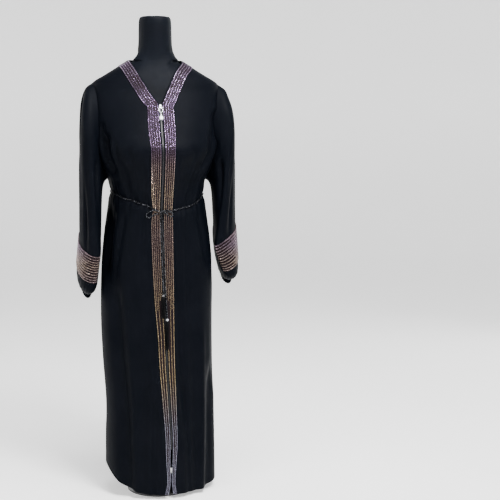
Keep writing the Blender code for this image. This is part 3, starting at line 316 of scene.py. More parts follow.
# Soft folds of the body. Angles are from centre front, wearer's left positive; an inward depth is negative.
# Columns: top angle, top height, bottom angle, bottom height, width in degrees, depth
FOLDS = (
    (-60, 1.210, -55, 1.060, 5.5, -0.022),
    (-40, 1.120, -36, 0.960, 6.0, -0.010),
    (-24, 1.120, -22, 0.960, 6.0, -0.008),
    (24, 1.130, 20, 0.960, 6.0, -0.010),
    (40, 1.130, 34, 0.960, 6.0, -0.011),
    (72, 1.290, 48, 1.080, 7.0, -0.016),
    (82, 1.240, 62, 1.050, 6.0, -0.013),
    (-76, 1.000, -66, 0.620, 8.0, -0.013),
    (-58, 0.800, -46, 0.000, 7.0, -0.016),
    (-26, 0.520, -30, 0.000, 7.0, -0.008),
    (22, 0.950, 26, 0.180, 6.5, -0.014),
    (39, 0.780, 40, 0.000, 6.5, -0.011),
    (66, 0.460, 58, 0.000, 7.0, -0.013),
    (84, 0.950, 78, 0.300, 8.0, -0.010),
    (112, 0.960, 108, 0.000, 9.0, -0.013),
    (136, 0.970, 140, 0.060, 8.0, -0.011),
    (160, 0.960, 158, 0.000, 8.0, -0.013),
    (184, 0.970, 186, 0.300, 8.0, -0.008),
    (208, 0.960, 212, 0.000, 8.0, -0.013),
    (232, 0.960, 230, 0.080, 8.0, -0.011),
    (254, 0.960, 256, 0.000, 9.0, -0.013),
    (118, 1.330, 128, 1.090, 7.0, -0.016),
    (140, 1.240, 150, 1.020, 7.0, -0.010),
    (220, 1.240, 210, 1.020, 7.0, -0.010),
    (242, 1.330, 232, 1.090, 7.0, -0.016),
    (172, 1.120, 168, 1.010, 6.0, -0.008),
    (190, 1.120, 194, 1.010, 6.0, -0.008),
)
FOLD_END = 0.22
# Folds that run to the hem go on to this many times their length
HEM_OVERRUN = 1.2

# The hem lifts at the wearer's right side and, less, at the left. Columns: angle, width in degrees, lift
HEM_LIFTS = ((-88.0, 34.0, 0.095), (76.0, 18.0, 0.014))
HEM_LIFT_REACH = 0.30

# Sleeves, a row for each section from the armhole to the gathered end; x is the distance from the middle
SLEEVE_COLUMNS = ("inner_x", "inner_z", "outer_x", "outer_z", "front", "back", "turn", "pitch", "bulge",
                  "roundness")
SLEEVE_RIGHT = (
    (0.158, 1.045, 0.2050, 1.362, -0.078, 0.057, 0.000, 0.000, 0.0185, 2.3),
    (0.168, 1.043, 0.2290, 1.343, -0.087, 0.058, 0.000, 0.000, 0.0125, 2.3),
    (0.176, 1.034, 0.2445, 1.303, -0.091, 0.057, 0.000, 0.000, 0.0090, 2.3),
    (0.181, 1.014, 0.2515, 1.243, -0.093, 0.056, 0.000, 0.000, 0.0060, 2.3),
    (0.184, 0.978, 0.2545, 1.168, -0.094, 0.055, 0.000, 0.000, 0.0030, 2.3),
    (0.186, 0.934, 0.2565, 1.083, -0.094, 0.057, 0.000, 0.000, 0.0000, 2.3),
    (0.188, 0.890, 0.2575, 1.000, -0.094, 0.062, 0.004, 0.020, 0.0000, 2.3),
    (0.190, 0.862, 0.2580, 0.922, -0.094, 0.068, 0.008, 0.050, 0.0000, 2.3),
    (0.191, 0.835, 0.2580, 0.852, -0.094, 0.075, 0.010, 0.076, 0.0000, 2.3),
    (0.195, 0.795, 0.2610, 0.808, -0.090, 0.085, 0.008, 0.076, 0.0000, 2.3),
    (0.199, 0.752, 0.2650, 0.765, -0.084, 0.092, 0.005, 0.076, 0.0000, 2.3),
    (0.202, 0.724, 0.2660, 0.734, -0.074, 0.097, 0.002, 0.072, 0.0000, 2.2),
    (0.209, 0.703, 0.2605, 0.712, -0.046, 0.099, 0.000, 0.058, 0.0000, 2.2),
    (0.218, 0.690, 0.2500, 0.697, 0.000, 0.090, 0.000, 0.040, 0.0000, 2.0),
    (0.219, 0.675, 0.2490, 0.681, 0.000, 0.092, 0.000, 0.040, 0.0000, 2.0),
)
SLEEVE_LEFT = (
    (0.158, 1.045, 0.2050, 1.362, -0.078, 0.057, 0.000, 0.000, 0.0185, 2.3),
    (0.168, 1.043, 0.2290, 1.343, -0.087, 0.058, 0.000, 0.000, 0.0125, 2.3),
    (0.176, 1.034, 0.2470, 1.303, -0.091, 0.057, 0.000, 0.000, 0.0090, 2.3),
    (0.181, 1.014, 0.2545, 1.245, -0.093, 0.056, 0.000, 0.000, 0.0060, 2.3),
    (0.184, 0.978, 0.2570, 1.175, -0.094, 0.055, 0.002, 0.000, 0.0030, 2.3),
    (0.186, 0.936, 0.2590, 1.100, -0.094, 0.057, 0.006, 0.000, 0.0000, 2.3),
    (0.188, 0.906, 0.2600, 1.026, -0.094, 0.062, 0.014, 0.020, 0.0000, 2.3),
    (0.189, 0.880, 0.2605, 0.960, -0.094, 0.068, 0.024, 0.050, 0.0000, 2.3),
    (0.189, 0.854, 0.2620, 0.898, -0.094, 0.075, 0.032, 0.076, 0.0000, 2.3),
    (0.193, 0.812, 0.2665, 0.850, -0.088, 0.085, 0.020, 0.076, 0.0000, 2.3),
    (0.200, 0.774, 0.2700, 0.800, -0.080, 0.092, 0.006, 0.076, 0.0000, 2.3),
    (0.207, 0.752, 0.2715, 0.769, -0.070, 0.097, 0.000, 0.070, 0.0000, 2.2),
    (0.214, 0.736, 0.2690, 0.746, -0.042, 0.099, 0.000, 0.058, 0.0000, 2.2),
    (0.225, 0.724, 0.2590, 0.732, 0.000, 0.090, 0.000, 0.040, 0.0000, 2.0),
    (0.226, 0.709, 0.2580, 0.716, 0.000, 0.092, 0.000, 0.040, 0.0000, 2.0),
)
# Sides of the garment. Columns: name, sign, the sleeve's table
SIDES = (("left", 1, SLEEVE_LEFT), ("right", -1, SLEEVE_RIGHT))
# Loops of the sleeve, as places between the rows above
SLEEVE_LOOPS = (0, 0.5, 1, 1.5, 2, 2.6, 3.3, 4, 4.7, 5.4, 6.1, 6.7, 7.4, 8, 8.67, 9.33, 10, 10.7, 11.4, 12.1,
                13, 14)
BAND_FIRST_LOOP = 13
BAND_LAST_LOOP = 16
BAND_FIRST_COLUMN = 4
BAND_LAST_COLUMN = 19
CASING_LOOP = 20
ARMHOLE_BLEND = 3.0
ARMHOLE_DEPTH_BLEND = 7.0
PUSH_ACROSS = 0.035
PUSH_ALONG = 0.075
GATHER_DEPTH = 0.0021
# Waves round the sleeve: count, wander and its count, then share, count and start of the weaker ones
GATHER_WAVES = (21, 0.9, 3, 0.45, 45, 1.0)
# Soft folds of the sleeves. Columns: turn angle, first row, last row, width in degrees, depth
SLEEVE_FOLDS = (
    (110, 2.5, 7.5, 16, -0.006),
    (150, 3.5, 8.5, 16, -0.004),
    (215, 1.5, 7.0, 16, -0.007),
    (250, 3.0, 8.0, 16, -0.006),
)

# Finer creases of the front, back and skirt, with the columns of the folds above
CREASES = (
    (-14, 1.150, -13, 0.985, 2.6, -0.0047),
    (-32, 1.170, -29, 0.985, 3.0, -0.0053),
    (-47, 1.190, -41, 0.990, 3.0, -0.0062),
    (-64, 1.240, -62, 1.090, 3.4, -0.0124),
    (14, 1.150, 13, 0.985, 2.6, -0.0043),
    (31, 1.170, 27, 0.985, 3.0, -0.0056),
    (52, 1.210, 41, 0.990, 3.2, -0.0071),
    (78, 1.330, 66, 1.160, 3.0, -0.0078),
    (-62, 0.965, -78, 0.730, 4.0, -0.0093),
    (-46, 0.960, -60, 0.700, 3.6, -0.0056),
    (-22, 0.955, -26, 0.780, 3.0, -0.0043),
    (16, 0.955, 19, 0.640, 3.2, -0.0068),
    (31, 0.960, 34, 0.560, 3.6, -0.0078),
    (48, 0.965, 58, 0.760, 3.6, -0.0056),
    (-40, 0.620, -38, 0.020, 3.0, 0.0034),
    (52, 0.620, 47, 0.000, 3.0, 0.0047),
    (26, 0.420, 30, 0.000, 3.6, -0.0062),
    (-13, 0.360, -16, 0.000, 4.0, -0.0056),
    (72, 0.800, 70, 0.240, 4.0, -0.0056),
    (98, 0.800, 94, 0.100, 4.0, -0.0062),
    (126, 0.900, 124, 0.300, 4.0, -0.0056),
    (150, 0.700, 148, 0.000, 4.0, -0.0056),
    (172, 0.940, 173, 0.200, 4.0, -0.0050),
    (196, 0.900, 199, 0.000, 4.0, -0.0056),
    (220, 0.960, 222, 0.100, 4.0, -0.0062),
    (243, 0.800, 246, 0.000, 4.0, -0.0056),
    (266, 0.900, 270, 0.200, 4.0, -0.0062),
    (128, 1.300, 141, 1.060, 3.6, -0.0078),
    (152, 1.200, 158, 1.010, 3.6, -0.0053),
    (208, 1.200, 202, 1.010, 3.6, -0.0053),
    (232, 1.300, 219, 1.060, 3.6, -0.0078),
)
# Creases left by packing. Columns: middle angle, height, half width in degrees, rise over that, depth
PRESSED = (
    (-16, 0.386, 15, 0.024, 0.0042),
    (28, 0.372, 9, -0.020, 0.0038),
    (150, 0.392, 26, 0.010, 0.0034),
    (206, 0.384, 24, -0.008, 0.0030),
)
PRESSED_HALF = 0.0055

# Small gathers at the belt, with waves as those of the sleeves' gathers
PUCKER_DEPTH = 0.0015
PUCKER_WAVES = (47, 1.7, 4, 0.6, 59, 2.0)
PUCKER_REACH = 0.040

# Finer folds of the sleeves, with the columns of their folds above; where the gathers begin, and their run
SLEEVE_CREASES = (
    (60, 1.0, 6.0, 11, -0.013),
    (128, 4.5, 8.6, 10, -0.012),
    (172, 1.0, 5.0, 12, -0.012),
    (196, 3.5, 8.4, 11, -0.013),
    (232, 0.8, 6.5, 12, -0.016),
    (268, 4.0, 8.5, 12, -0.015),
    (300, 0.6, 5.0, 12, -0.019),
    (324, 2.5, 8.3, 13, -0.016),
)
GATHER_START = 10.2
GATHER_RUN = 3.0
LOOP_STEPS = 5

# Rows of stones on the fronts. Columns: share of the band's width from its inner edge, stone width, pitch,
# the height that they start from, and whether they are bright
BAND_STONES = (
    (0.045, 0.0029, 0.0032, 0.00, True),
    (0.165, 0.0022, 0.0028, 1.08, False),
    (0.290, 0.0024, 0.0030, 0.66, True),
    (0.400, 0.0022, 0.0028, 1.10, False),
    (0.520, 0.0024, 0.0030, 0.00, True),
    (0.640, 0.0022, 0.0028, 1.05, False),
    (0.735, 0.0024, 0.0030, 0.63, True),
    (0.850, 0.0022, 0.0028, 1.12, False),
    (0.950, 0.0029, 0.0032, 0.00, True),
)
# Points that a line of stones is read at, and the grid lines left free at its two ends
FRONT_LINE_POINTS = 900
FRONT_MARGINS = (0.3, 1.6)
SLEEVE_LINE_POINTS = 240
COMB_LINE_POINTS = 220
SLEEVE_MARGIN = 0.4

# Rows of the sleeves' stones, each but the last with a shorter comb of smaller ones beside it. A stone is its
# width and pitch, and the comb's places are shares of the band's length and of a row's step.
SLEEVE_ROWS = 11
SLEEVE_FILL = 0.96
SLEEVE_STONE = (0.0040, 0.0036)
COMB_STONE = (0.0029, 0.0031)
COMB_REACH = 0.27
COMB_SWAY = 0.05
COMB_STEP = 0.38

# A stone's place, tilt and size stray a little. Its facets are those of a unit stone.
STONE_SEED = 7
STONE_TILT = 0.10
STONE_LIFT = 0.0001
STONE_STRAY = 0.12
STONE_SIZES = (0.88, 1.08)
STONE_SIDES = 6
STONE_TABLE = 0.27
STONE_HEIGHT = 0.42
BAND_LOW = CLOTH / 2 + GAP
STONE_LOW = BAND_LOW + BAND_THICK + STONE_LIFT

# Tints of the stones by height, and the shades of single ones. Columns: place on the ramp, colour
STONE_TINTS = (
    (0.00, (0.30, 0.32, 0.42)),
    (0.17, (0.34, 0.36, 0.44)),
    (0.28, (0.56, 0.46, 0.24)),
    (0.46, (0.46, 0.37, 0.22)),
    (0.60, (0.38, 0.29, 0.25)),
    (0.70, (0.42, 0.34, 0.23)),
    (0.765, (0.36, 0.28, 0.26)),
    (0.80, (0.21, 0.15, 0.27)),
    (0.90, (0.22, 0.16, 0.29)),
    (1.00, (0.27, 0.23, 0.31)),
)
SHADED_TINTS = (
    (0.00, (0.030, 0.030, 0.045)),
    (0.30, (0.060, 0.045, 0.025)),
    (0.60, (0.050, 0.030, 0.030)),
    (0.76, (0.055, 0.035, 0.030)),
    (0.82, (0.060, 0.034, 0.090)),
    (1.00, (0.062, 0.038, 0.085)),
)
SLEEVE_TINTS = (
    (0.50, (0.20, 0.16, 0.16)),
    (0.54, (0.25, 0.20, 0.16)),
    (0.58, (0.17, 0.13, 0.17)),
    (0.61, (0.21, 0.16, 0.18)),
    (0.65, (0.26, 0.21, 0.17)),
)
STONE_SHADES = ((0.10, (0.30, 0.24, 0.30)), (0.50, (0.78, 0.72, 0.74)), (0.90, (1.0, 0.97, 0.95)))
CRYSTAL_TINTS = ((0.78, 0.80, 0.90), (0.97, 0.97, 0.99))
SILVER = (0.48, 0.48, 0.50)
BLACK = (0.0, 0.0, 0.0)
WHITE = (1.0, 1.0, 1.0)

# The form: room kept to the cloth, then how near points are joined and how flat faces are merged
FORM_CLEAR = 0.0010
FORM_WELD = 0.00005
FORM_FLAT = 0.0001

# Zip
ZIP_BOTTOM_Z = 0.165
TAPE_HALF = 0.012
TAPE_THICK = 0.0008
TOOTH_PITCH = 0.0026
TOOTH_SIZE = (0.0030, 0.0011, 0.0012)
TOOTH_TOP = (0.8, 0.5, 0.8)
TOOTH_ASIDE = 0.0007
TOOTH_SUNK = 0.0004
SLIDER_ROOM = 0.019

# Corded belt with its bow and ends, as in the model
CORD = 0.0040
BRAID_STEP = 0.0006
BRAID_SIDES = 12
BRAID_TURN = 0.0110
BRAID_DEPTH = 0.14
BRAID_TIP = 0.6
BRAID_ASIDE = (0.3, 1.0, 0.2)
BELT_POINTS = 60
BELT_FINE = 4
BELT_START = 3.2
BELT_TURN = -1.9
BELT_SLACK = 0.0005
SEAT_BACK = 0.03
SEAT_REACH = 0.05
SEAT_STEPS = 100
KNOT_HALF = (0.0070, 0.0050, 0.0060)
KNOT_OUT = (0.0, -0.0035, -0.0010)
KNOT_TURN = 2.6 * math.pi
KNOT_ROUND = 0.9
# Bow loops. Columns: name, side, reach, drop
BOWS = (
    ("belt_bow_right", -1, 0.040, 0.020),
    ("belt_bow_left", 1, 0.030, 0.018),
)
BOW_GAP = 0.0002
BOW_ROOTS = (0.0026, -0.0032)
# Outline of a bow loop from its upper root: shares of its reach and of its drop
BOW_LINE = ((0.35, 0.22), (0.75, -0.10), (1.00, -0.50), (0.90, -1.00), (0.62, -0.80), (0.30, -0.45))
BOW_STEP = 0.0070
END_STEP = 0.0120
END_ASIDE = 0.0026
END_OUT = 0.0012
# Line of a hanging end: share of the way down, sway to its own side, and how far it stands out
END_LINE = ((0.00, 0.0, 0.0), (0.12, 0.0006, 0.0008), (0.40, 0.0008, 0.0004), (0.75, -0.0006, 0.0),
            (0.95, 0.0, 0.0), (1.00, 0.0, 0.0))
# Free ends of the belt. Columns: name, side, lateral place, bead height, bead radius
BELT_ENDS = (
    ("right", -1, -0.0015, 0.680, 0.0045),
    ("left", 1, 0.0108, 0.600, 0.0050),
)
# How far the cord runs on into its tassel
CORD_INSIDE = 0.026
# The cut beads are a little smaller than the room that the model keeps for them
BEAD_SHARE = 0.86
BEAD_LENGTH = 0.96

# Tassels, with a wound head that is narrow at its top and again below its middle
CAP_RADIUS = 0.0058
CAP_HEIGHT = 0.011
TASSEL_SIDES = 24
HEAD_RINGS = 23
HEAD_TOP = 0.38
HEAD_NECK = 0.86
HEAD_RIDGE = 0.05
HEAD_TURNS = 9
THREADS = 110
THREAD_RADIUS = 0.00042
THREAD_RINGS = 7
THREAD_CORNERS = (0.3, 2.4, 4.5)
THREAD_ROOT = 0.001
THREAD_SPREAD = (0.9, 1.3)
THREAD_UNEVEN = 0.006
THREAD_WAVE = 0.0008
TASSEL_SEED = 11

# Camera and studio
SENSOR_WIDTH = 36.0
CAMERA_AZIMUTH = -7.5
CAMERA_DISTANCE = 3.5
CAMERA_HEIGHT = 1.20
CAMERA_FIELD = 26.76
AIM_RIGHT = 0.310
AIM_HEIGHT = 0.809
WORLD_STRENGTH = 0.42
FLOOR_GLOW = 0.42
FLOOR_MIDDLE = 0.01
FLOOR_NEAR = 2.0
FLOOR_REACH = 7.0
FLOOR_SIDES = 64
BOWL = 1.5
BOWL_TURNS = np.linspace(0.1, math.pi / 2, 12)
WALL_TOP = 6.0
FLOOR_SHADES = ((0.2, (0.88,) * 3), (0.8, (0.92,) * 3))
# Columns: name, place, aim, size, power
LIGHTS = (
    ("key", (0.9, -2.2, 3.5), (0.0, 0.0, 1.0), (1.0, 1.0), 260.0),
    ("fill", (-2.8, -2.2, 2.0), (0.0, 0.0, 0.9), (1.2, 2.0), 55.0),
    ("top", (0.2, -0.9, 3.7), (0.0, 0.0, 1.2), (1.6, 1.2), 150.0),
    ("rim_left", (2.6, 1.9, 1.7), (0.0, 0.0, 0.9), (0.8, 2.2), 30.0),
    ("rim_right", (-2.6, 1.9, 1.7), (0.0, 0.0, 0.9), (0.8, 2.2), 30.0),
)


def table(rows, columns):
    """The rows as one array for each named column."""
    return {name: np.array([row[i] for row in rows], float) for i, name in enumerate(columns)}


def smooth_value(xs, ys, x):
    """A smooth curve through the points (xs, ys), read at x; flat past both ends."""
    x = np.clip(x, xs[0], xs[-1])
    i = np.clip(np.searchsorted(xs, x, side="right") - 1, 0, len(xs) - 2)
    slopes = np.gradient(ys, xs)
    run = xs[i + 1] - xs[i]
    t = (x - xs[i]) / run
    start = (1 + 2 * t) * (1 - t) ** 2 * ys[i] + t * (1 - t) ** 2 * run * slopes[i]
    end = t * t * (3 - 2 * t) * ys[i + 1] + t * t * (t - 1) * run * slopes[i + 1]
    return start + end


BODY_TABLE = table(BODY, BODY_COLUMNS)
BELT_TABLE = table(BELT_LINE, BELT_COLUMNS)
TAPER_TABLE = table(FRONT_TAPER, TAPER_COLUMNS)
CENTRE_TABLE = table(CENTRE, CENTRE_COLUMNS)
NECK_TABLE = table(NECK_EDGE, NECK_EDGE_COLUMNS)


def turned(angle, middle):
    """How far an angle is from another in degrees, the short way round."""
    return (angle - middle + 180) % 360 - 180


def bell(share):
    """A hump that is one at nought and fades on both sides."""
    return np.exp(-(share**2))


def eased(share):
    """A share from 0 to 1 with a soft start and a soft end."""
    return share * share * (3 - 2 * share)


def uneven_waves(turns, count, wander, wanders, share, second_count, start):
    """Waves round a tube whose spacing wanders, and weaker ones of another count."""
    main = np.cos(turns * count + wander * np.sin(turns * wanders))
    return main + share * np.cos(turns * second_count + start)


def unit(vectors):
    """The vectors at length one."""
    return vectors / np.maximum(np.linalg.norm(vectors, axis=-1, keepdims=True), 1e-12)


def run_along(line):
    """Distance from the start of a line to each of its points."""
    return np.concatenate([[0], np.cumsum(np.linalg.norm(np.diff(line, axis=0), axis=1))])


def along_run(at, run, values):
    """Points or directions read at places along their run."""
    return np.stack([np.interp(at, run, column) for column in values.T], axis=1)


def ring(x, y, z, radius, turns):
    """Points of a level round."""
    return [(x + radius * math.cos(t), y + radius * math.sin(t), z) for t in turns]


def body(name, z):
    """A measure of the garment's outline at a height."""
    return smooth_value(BODY_TABLE["height"], BODY_TABLE[name], z)


def centre(name, z):
    """A measure of the fronts' middle at a height."""
    return smooth_value(CENTRE_TABLE["height"], CENTRE_TABLE[name], z)


def belt_rise(angle):
    """How far the belt's line stands above WAIST_Z at an angle."""
    return smooth_value(BELT_TABLE["angle"], BELT_TABLE["rise"], turned(angle, 0))


def oval_radius(sine, cosine, half_width, front, back, roundness):
    """Distance from the axis to a rounded oval, in the direction (sine, -cosine)."""
    depth = np.where(cosine > 0, AXIS_Y - front, back - AXIS_Y)
    total = np.abs(sine / half_width) ** roundness + np.abs(cosine / depth) ** roundness
    return total ** (-1 / roundness)


def fold_depth(angle, z):
    """How far the folds push the cloth out at an angle in degrees and a height."""
    total = 0.0 * angle
    for top_angle, top_z, bottom_angle, bottom_z, width, depth in FOLDS + CREASES:
        share = (top_z - z) / (top_z - bottom_z)
        line = top_angle + (bottom_angle - top_angle) * np.clip(share, 0, 1)
        low_end = np.clip((1 - share) / FOLD_END, 0, 1) if bottom_z > 0 else share < HEM_OVERRUN
        ends = np.clip(share / FOLD_END, 0, 1) * low_end
        total = total + depth * bell(turned(angle, line) / width) * eased(ends)
    for middle, height, half, rise, depth in PRESSED:
        share = turned(angle, middle) / half
        away = (z - height - rise * share) / PRESSED_HALF
        total = total + depth * np.clip(1 - np.abs(away), 0, 1) * np.clip(1 - share * share, 0, 1)
    return total


def pucker_depth(angle, z, belt_z):
    """The small gathers above and below the belt, uneven round the body."""
    return PUCKER_DEPTH * uneven_waves(np.radians(angle), *PUCKER_WAVES) * bell((z - belt_z) / PUCKER_REACH)


def surface(angle, z):
    """A point of the body's cloth; the angle is in degrees from centre front, wearer's left positive."""
    sine, cosine = np.sin(np.radians(angle)), np.cos(np.radians(angle))
    rise = belt_rise(angle)
    belt_z = WAIST_Z + rise
    z = z + rise * bell((z - WAIST_Z) / BELT_REACH)
    radius = oval_radius(sine, cosine, body("half_width", z), body("front", z), body("back", z),
                         body("roundness", z))
    radius = radius - CINCH * bell((z - belt_z) / CINCH_REACH) + fold_depth(angle, z)
    radius = radius + pucker_depth(angle, z, belt_z)
    lift = 0.0 * z
    for middle, width, most in HEM_LIFTS:
        lift = lift + most * bell(turned(angle, middle) / width) * np.clip(1 - z / HEM_LIFT_REACH, 0, 1) ** 2
    return np.stack([body("drift", z) + radius * sine, AXIS_Y - radius * cosine, z + lift], axis=-1)


def spread(line, fixed, count):
    """Shares along a dense line: the fixed distances from its start, then count equal steps to its end."""
    run = run_along(line)
    rest = np.linspace(fixed[-1], run[-1], count + 1)[1:]
    return np.interp(np.concatenate([fixed, rest]), run, np.linspace(0, 1, len(line)))


def armhole_angle(side, z, reach, base):
    """Angle of the armhole's edge at a height; base is the side seam's angle."""
    share = np.clip((z - UNDERARM_Z) / (TIP_Z - UNDERARM_Z), 0, 1)
    return base - side * reach * np.sqrt(4 * share * (1 - share))


def refined(values, steps):
    """The values, with equal steps put in between neighbours."""
    at = np.linspace(0, len(values) - 1, (len(values) - 1) * steps + 1)
    return np.interp(at, np.arange(len(values)), values)


def side_rows():
    """Heights of the fine rows at the side seam and armhole, and how far each has turned to the shoulder."""
    low = refined(HEM_ROWS, LOW_STEPS)
    turns = refined(UPPER_ROWS, UPPER_STEPS)[1:]
    heights = np.concatenate([low, UNDERARM_Z + (TIP_Z - UNDERARM_Z) * turns])
    return heights, np.concatenate([np.zeros(len(low)), turns])


def angle_at(side, z, lateral):
    """Angle at which the body's cloth has that lateral place, on one side of the front."""
    angles = np.linspace(*FRONT_ANGLES)
    places = side * surface(side * angles, np.full(len(angles), z))[:, 0]
    return float(np.interp(lateral, places, angles))


def front_columns():
    """Fine columns of a front, as places between the coarse ones."""
    side_part = (3, 3 + SIDE_COLUMNS, SIDE_COLUMNS * SIDE_STEPS)
    spans = ((0, 1, 2), (1, 2, BAND_STEPS), (2, 3, BAND_STEPS), side_part)
    return np.concatenate([[0.0], *(refined((start, end), steps)[1:] for start, end, steps in spans)])


def front_grid(side):
    """Points of one front, a row for each height and a column for each step from the opening outward."""
    heights, turns = side_rows()
    columns = front_columns()
    fixed = (0, PLAIN_EDGE, PLAIN_EDGE + BAND_WIDTH / 2, PLAIN_EDGE + BAND_WIDTH)
    grid = []
    for z, turn in zip(heights, turns):
        edge_z = z + (NECK_POINT_Z - TIP_Z) * turn
        if edge_z <= NECK_LOW_Z + 1e-6:
            lateral = side * centre("offset", edge_z) + centre("half_gap", edge_z)
        else:
            share = (edge_z - NECK_LOW_Z) / (NECK_POINT_Z - NECK_LOW_Z)
            lateral = smooth_value(NECK_TABLE["share"], NECK_TABLE["left" if side > 0 else "right"], share)
        start = angle_at(side, edge_z, lateral) if turn < 1 else 90.0
        end = armhole_angle(1, z, ARM_FRONT_DEGREES, 90.0)
        share = np.linspace(0, 1, ROW_POINTS)
        line = surface(side * (start + (end - start) * share), edge_z + (z - edge_z) * share)
        drawn = smooth_value(TAPER_TABLE["height"], TAPER_TABLE["share"], edge_z)
        coarse = spread(line, [width * drawn for width in fixed], SIDE_COLUMNS)
        share = np.interp(columns, np.arange(len(coarse)), coarse)
        grid.append(surface(side * (start + (end - start) * share), edge_z + (z - edge_z) * share))
    return np.array(grid)


def back_grid(left_front, right_front):
    """Points of the back, from the wearer's left side seam to the right; it shares the fronts' seams."""
    heights, turns = side_rows()
    top_left, top_right = left_front[-1][::-1], right_front[-1]
    neck = np.linspace(0, 1, NECK_COLUMNS * SIDE_STEPS + 1)[1:-1]
    count = len(top_left)
    top_angle = np.concatenate([np.full(count, 90.0), 90 + 180 * neck, np.full(count, 270.0)])
    rise = NECK_POINT_Z + (BACK_NECK_Z - NECK_POINT_Z) * np.sin(np.pi * neck)
    top_z = np.concatenate([top_left[:, 2], rise, top_right[:, 2]])
    grid = []
    for z, turn in zip(heights, turns):
        start = armhole_angle(-1, z, ARM_BACK_DEGREES, 90.0)
        even = np.linspace(start, 360 - start, len(top_angle))
        angle = even + (top_angle - even) * turn**TOP_TURN
        grid.append(surface(angle, z + (top_z - TIP_Z) * turn))
    grid = np.array(grid)
    grid[-1][:count] = top_left
    grid[-1][-count:] = top_right
    low = len(refined(HEM_ROWS, LOW_STEPS))
    grid[:low, 0], grid[:low, -1] = left_front[:low, -1], right_front[:low, -1]
    return grid


def sleeve_folds(turn_angles, place):
    """How far the folds and the gathers push the sleeve out."""
    total = 0.0 * turn_angles
    for angle, first, last, width, depth in SLEEVE_FOLDS + SLEEVE_CREASES:
        share = np.clip((place - first) / (last - first), 0, 1)
        total = total + depth * bell(turned(turn_angles, angle) / width) * math.sin(math.pi * share) ** 2
    gathered = np.clip((place - GATHER_START) / GATHER_RUN, 0, 1)
    return total + GATHER_DEPTH * gathered * uneven_waves(np.radians(turn_angles), *GATHER_WAVES)


def sleeve_section(rows, side, place, turn_angles):
    """Points round the sleeve at a place between the table's rows, starting at the inner side."""
    columns = table(rows, SLEEVE_COLUMNS)
    at = {name: smooth_value(np.arange(len(rows), dtype=float), columns[name], place) for name in columns}
    sine, cosine = np.sin(np.radians(turn_angles)), np.cos(np.radians(turn_angles))
    power = 2 / at["roundness"]
    across = np.sign(cosine) * np.abs(cosine) ** power
    along = np.sign(sine) * np.abs(sine) ** power
    push = sleeve_folds(turn_angles, place)
    across, along = across * (1 + push / PUSH_ACROSS), along * (1 + push / PUSH_ALONG)
    x = (at["inner_x"] + at["outer_x"]) / 2 - (at["outer_x"] - at["inner_x"]) / 2 * across
    x = x - at["turn"] * np.maximum(along, 0) ** 2 + at["bulge"] * along**2
    y = (at["front"] + at["back"]) / 2 - (at["back"] - at["front"]) / 2 * along
    z = (at["inner_z"] + at["outer_z"]) / 2 - (at["outer_z"] - at["inner_z"]) / 2 * across
    return np.stack([side * x, y, z - at["pitch"] / 2 * along], axis=-1)


def sleeve_loops(rows, side, armhole):
    """Loops of points from the armhole to the end of the casing."""
    count = len(armhole)
    even = np.arange(count) * 360.0 / count
    low, high = armhole[0][2], armhole[count // 2][2]
    across = np.clip(((low + high) / 2 - armhole[:, 2]) / ((high - low) / 2), -1, 1)
    first = np.degrees(np.arccos(np.sign(across) * np.abs(across) ** (rows[0][-1] / 2)))
    first[count // 2 + 1:] = 360 - first[count // 2 + 1:]
    off = armhole - sleeve_section(rows, side, 0.0, first)
    loops = [armhole]
    for place in refined(SLEEVE_LOOPS, LOOP_STEPS)[1:]:
        share = min(1.0, place / ARMHOLE_BLEND)
        angles = first + (even - first) * eased(share)
        quick, slow = (1 - share) ** 2, max(0.0, 1 - place / ARMHOLE_DEPTH_BLEND) ** 2
        loops.append(sleeve_section(rows, side, place, angles) + off * np.array([quick, slow, quick]))
    return np.array(loops)


class Patch:
    """A grid of points on the cloth with its outward normals, read at any place between its lines."""

    def __init__(self, points, outward, closed=False):
        self.closed = closed
        self.points = points
        wide = np.concatenate([points[:, -1:], points, points[:, :1]], axis=1) if closed else points
        along = np.gradient(wide, axis=0)
        across = np.gradient(wide, axis=1)
        normals = unit(np.cross(across, along) * (1 if outward else -1))
        self.normals = normals[:, 1:-1] if closed else normals

    def read(self, values, row, column):
        rows, columns = values.shape[:2]
        row = np.clip(row, 0, rows - 1.0001)
        column = column % columns if self.closed else np.clip(column, 0, columns - 1.0001)
        r, c = np.floor(row).astype(int), np.floor(column).astype(int)
        s, t = (row - r)[..., None], (column - c)[..., None]
        d = (c + 1) % columns
        low = values[r, c] * (1 - t) + values[r, d] * t
        return low * (1 - s) + (values[r + 1, c] * (1 - t) + values[r + 1, d] * t) * s

    def at(self, row, column, lift=0.0):
        return self.read(self.points, row, column) + lift * self.read(self.normals, row, column)


def add_object(name, data):
    """A new object in the scene, with that mesh, light or camera."""
    made = bpy.data.objects.new(name, data)
    bpy.context.scene.collection.objects.link(made)
    return made


def mesh_piece(name, points, faces, material, smooth=True):
    """A new object of points and faces, in one finish."""
    data = bpy.data.meshes.new(name)
    faces = faces if isinstance(faces, list) else faces.tolist()
    data.from_pydata(np.asarray(points, float).tolist(), [], faces)
    data.update()
    data.materials.append(material)
    data.polygons.foreach_set("use_smooth", [smooth] * len(data.polygons))
    return add_object(name, data)


def grid_faces(rows, columns, closed=False, flip=False):
    """Squares between neighbouring rows and columns of a grid."""
    wide = columns if closed else columns - 1
    r, c = np.meshgrid(np.arange(rows - 1), np.arange(wide), indexing="ij")
    d = (c + 1) % columns
    order = [r * columns + c, r * columns + d, (r + 1) * columns + d, (r + 1) * columns + c]
    if flip:
        order.reverse()
    return np.stack(order, axis=-1).reshape(-1, 4)


def dress(piece, slot, *nodes):
    """Sets a finished piece on the garment's body, with its slot and the nodes that it stands for."""
    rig.ride(piece, "garment")
    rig.slot(piece, slot)
    if nodes:
        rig.replaces(piece, *nodes)
    return piece


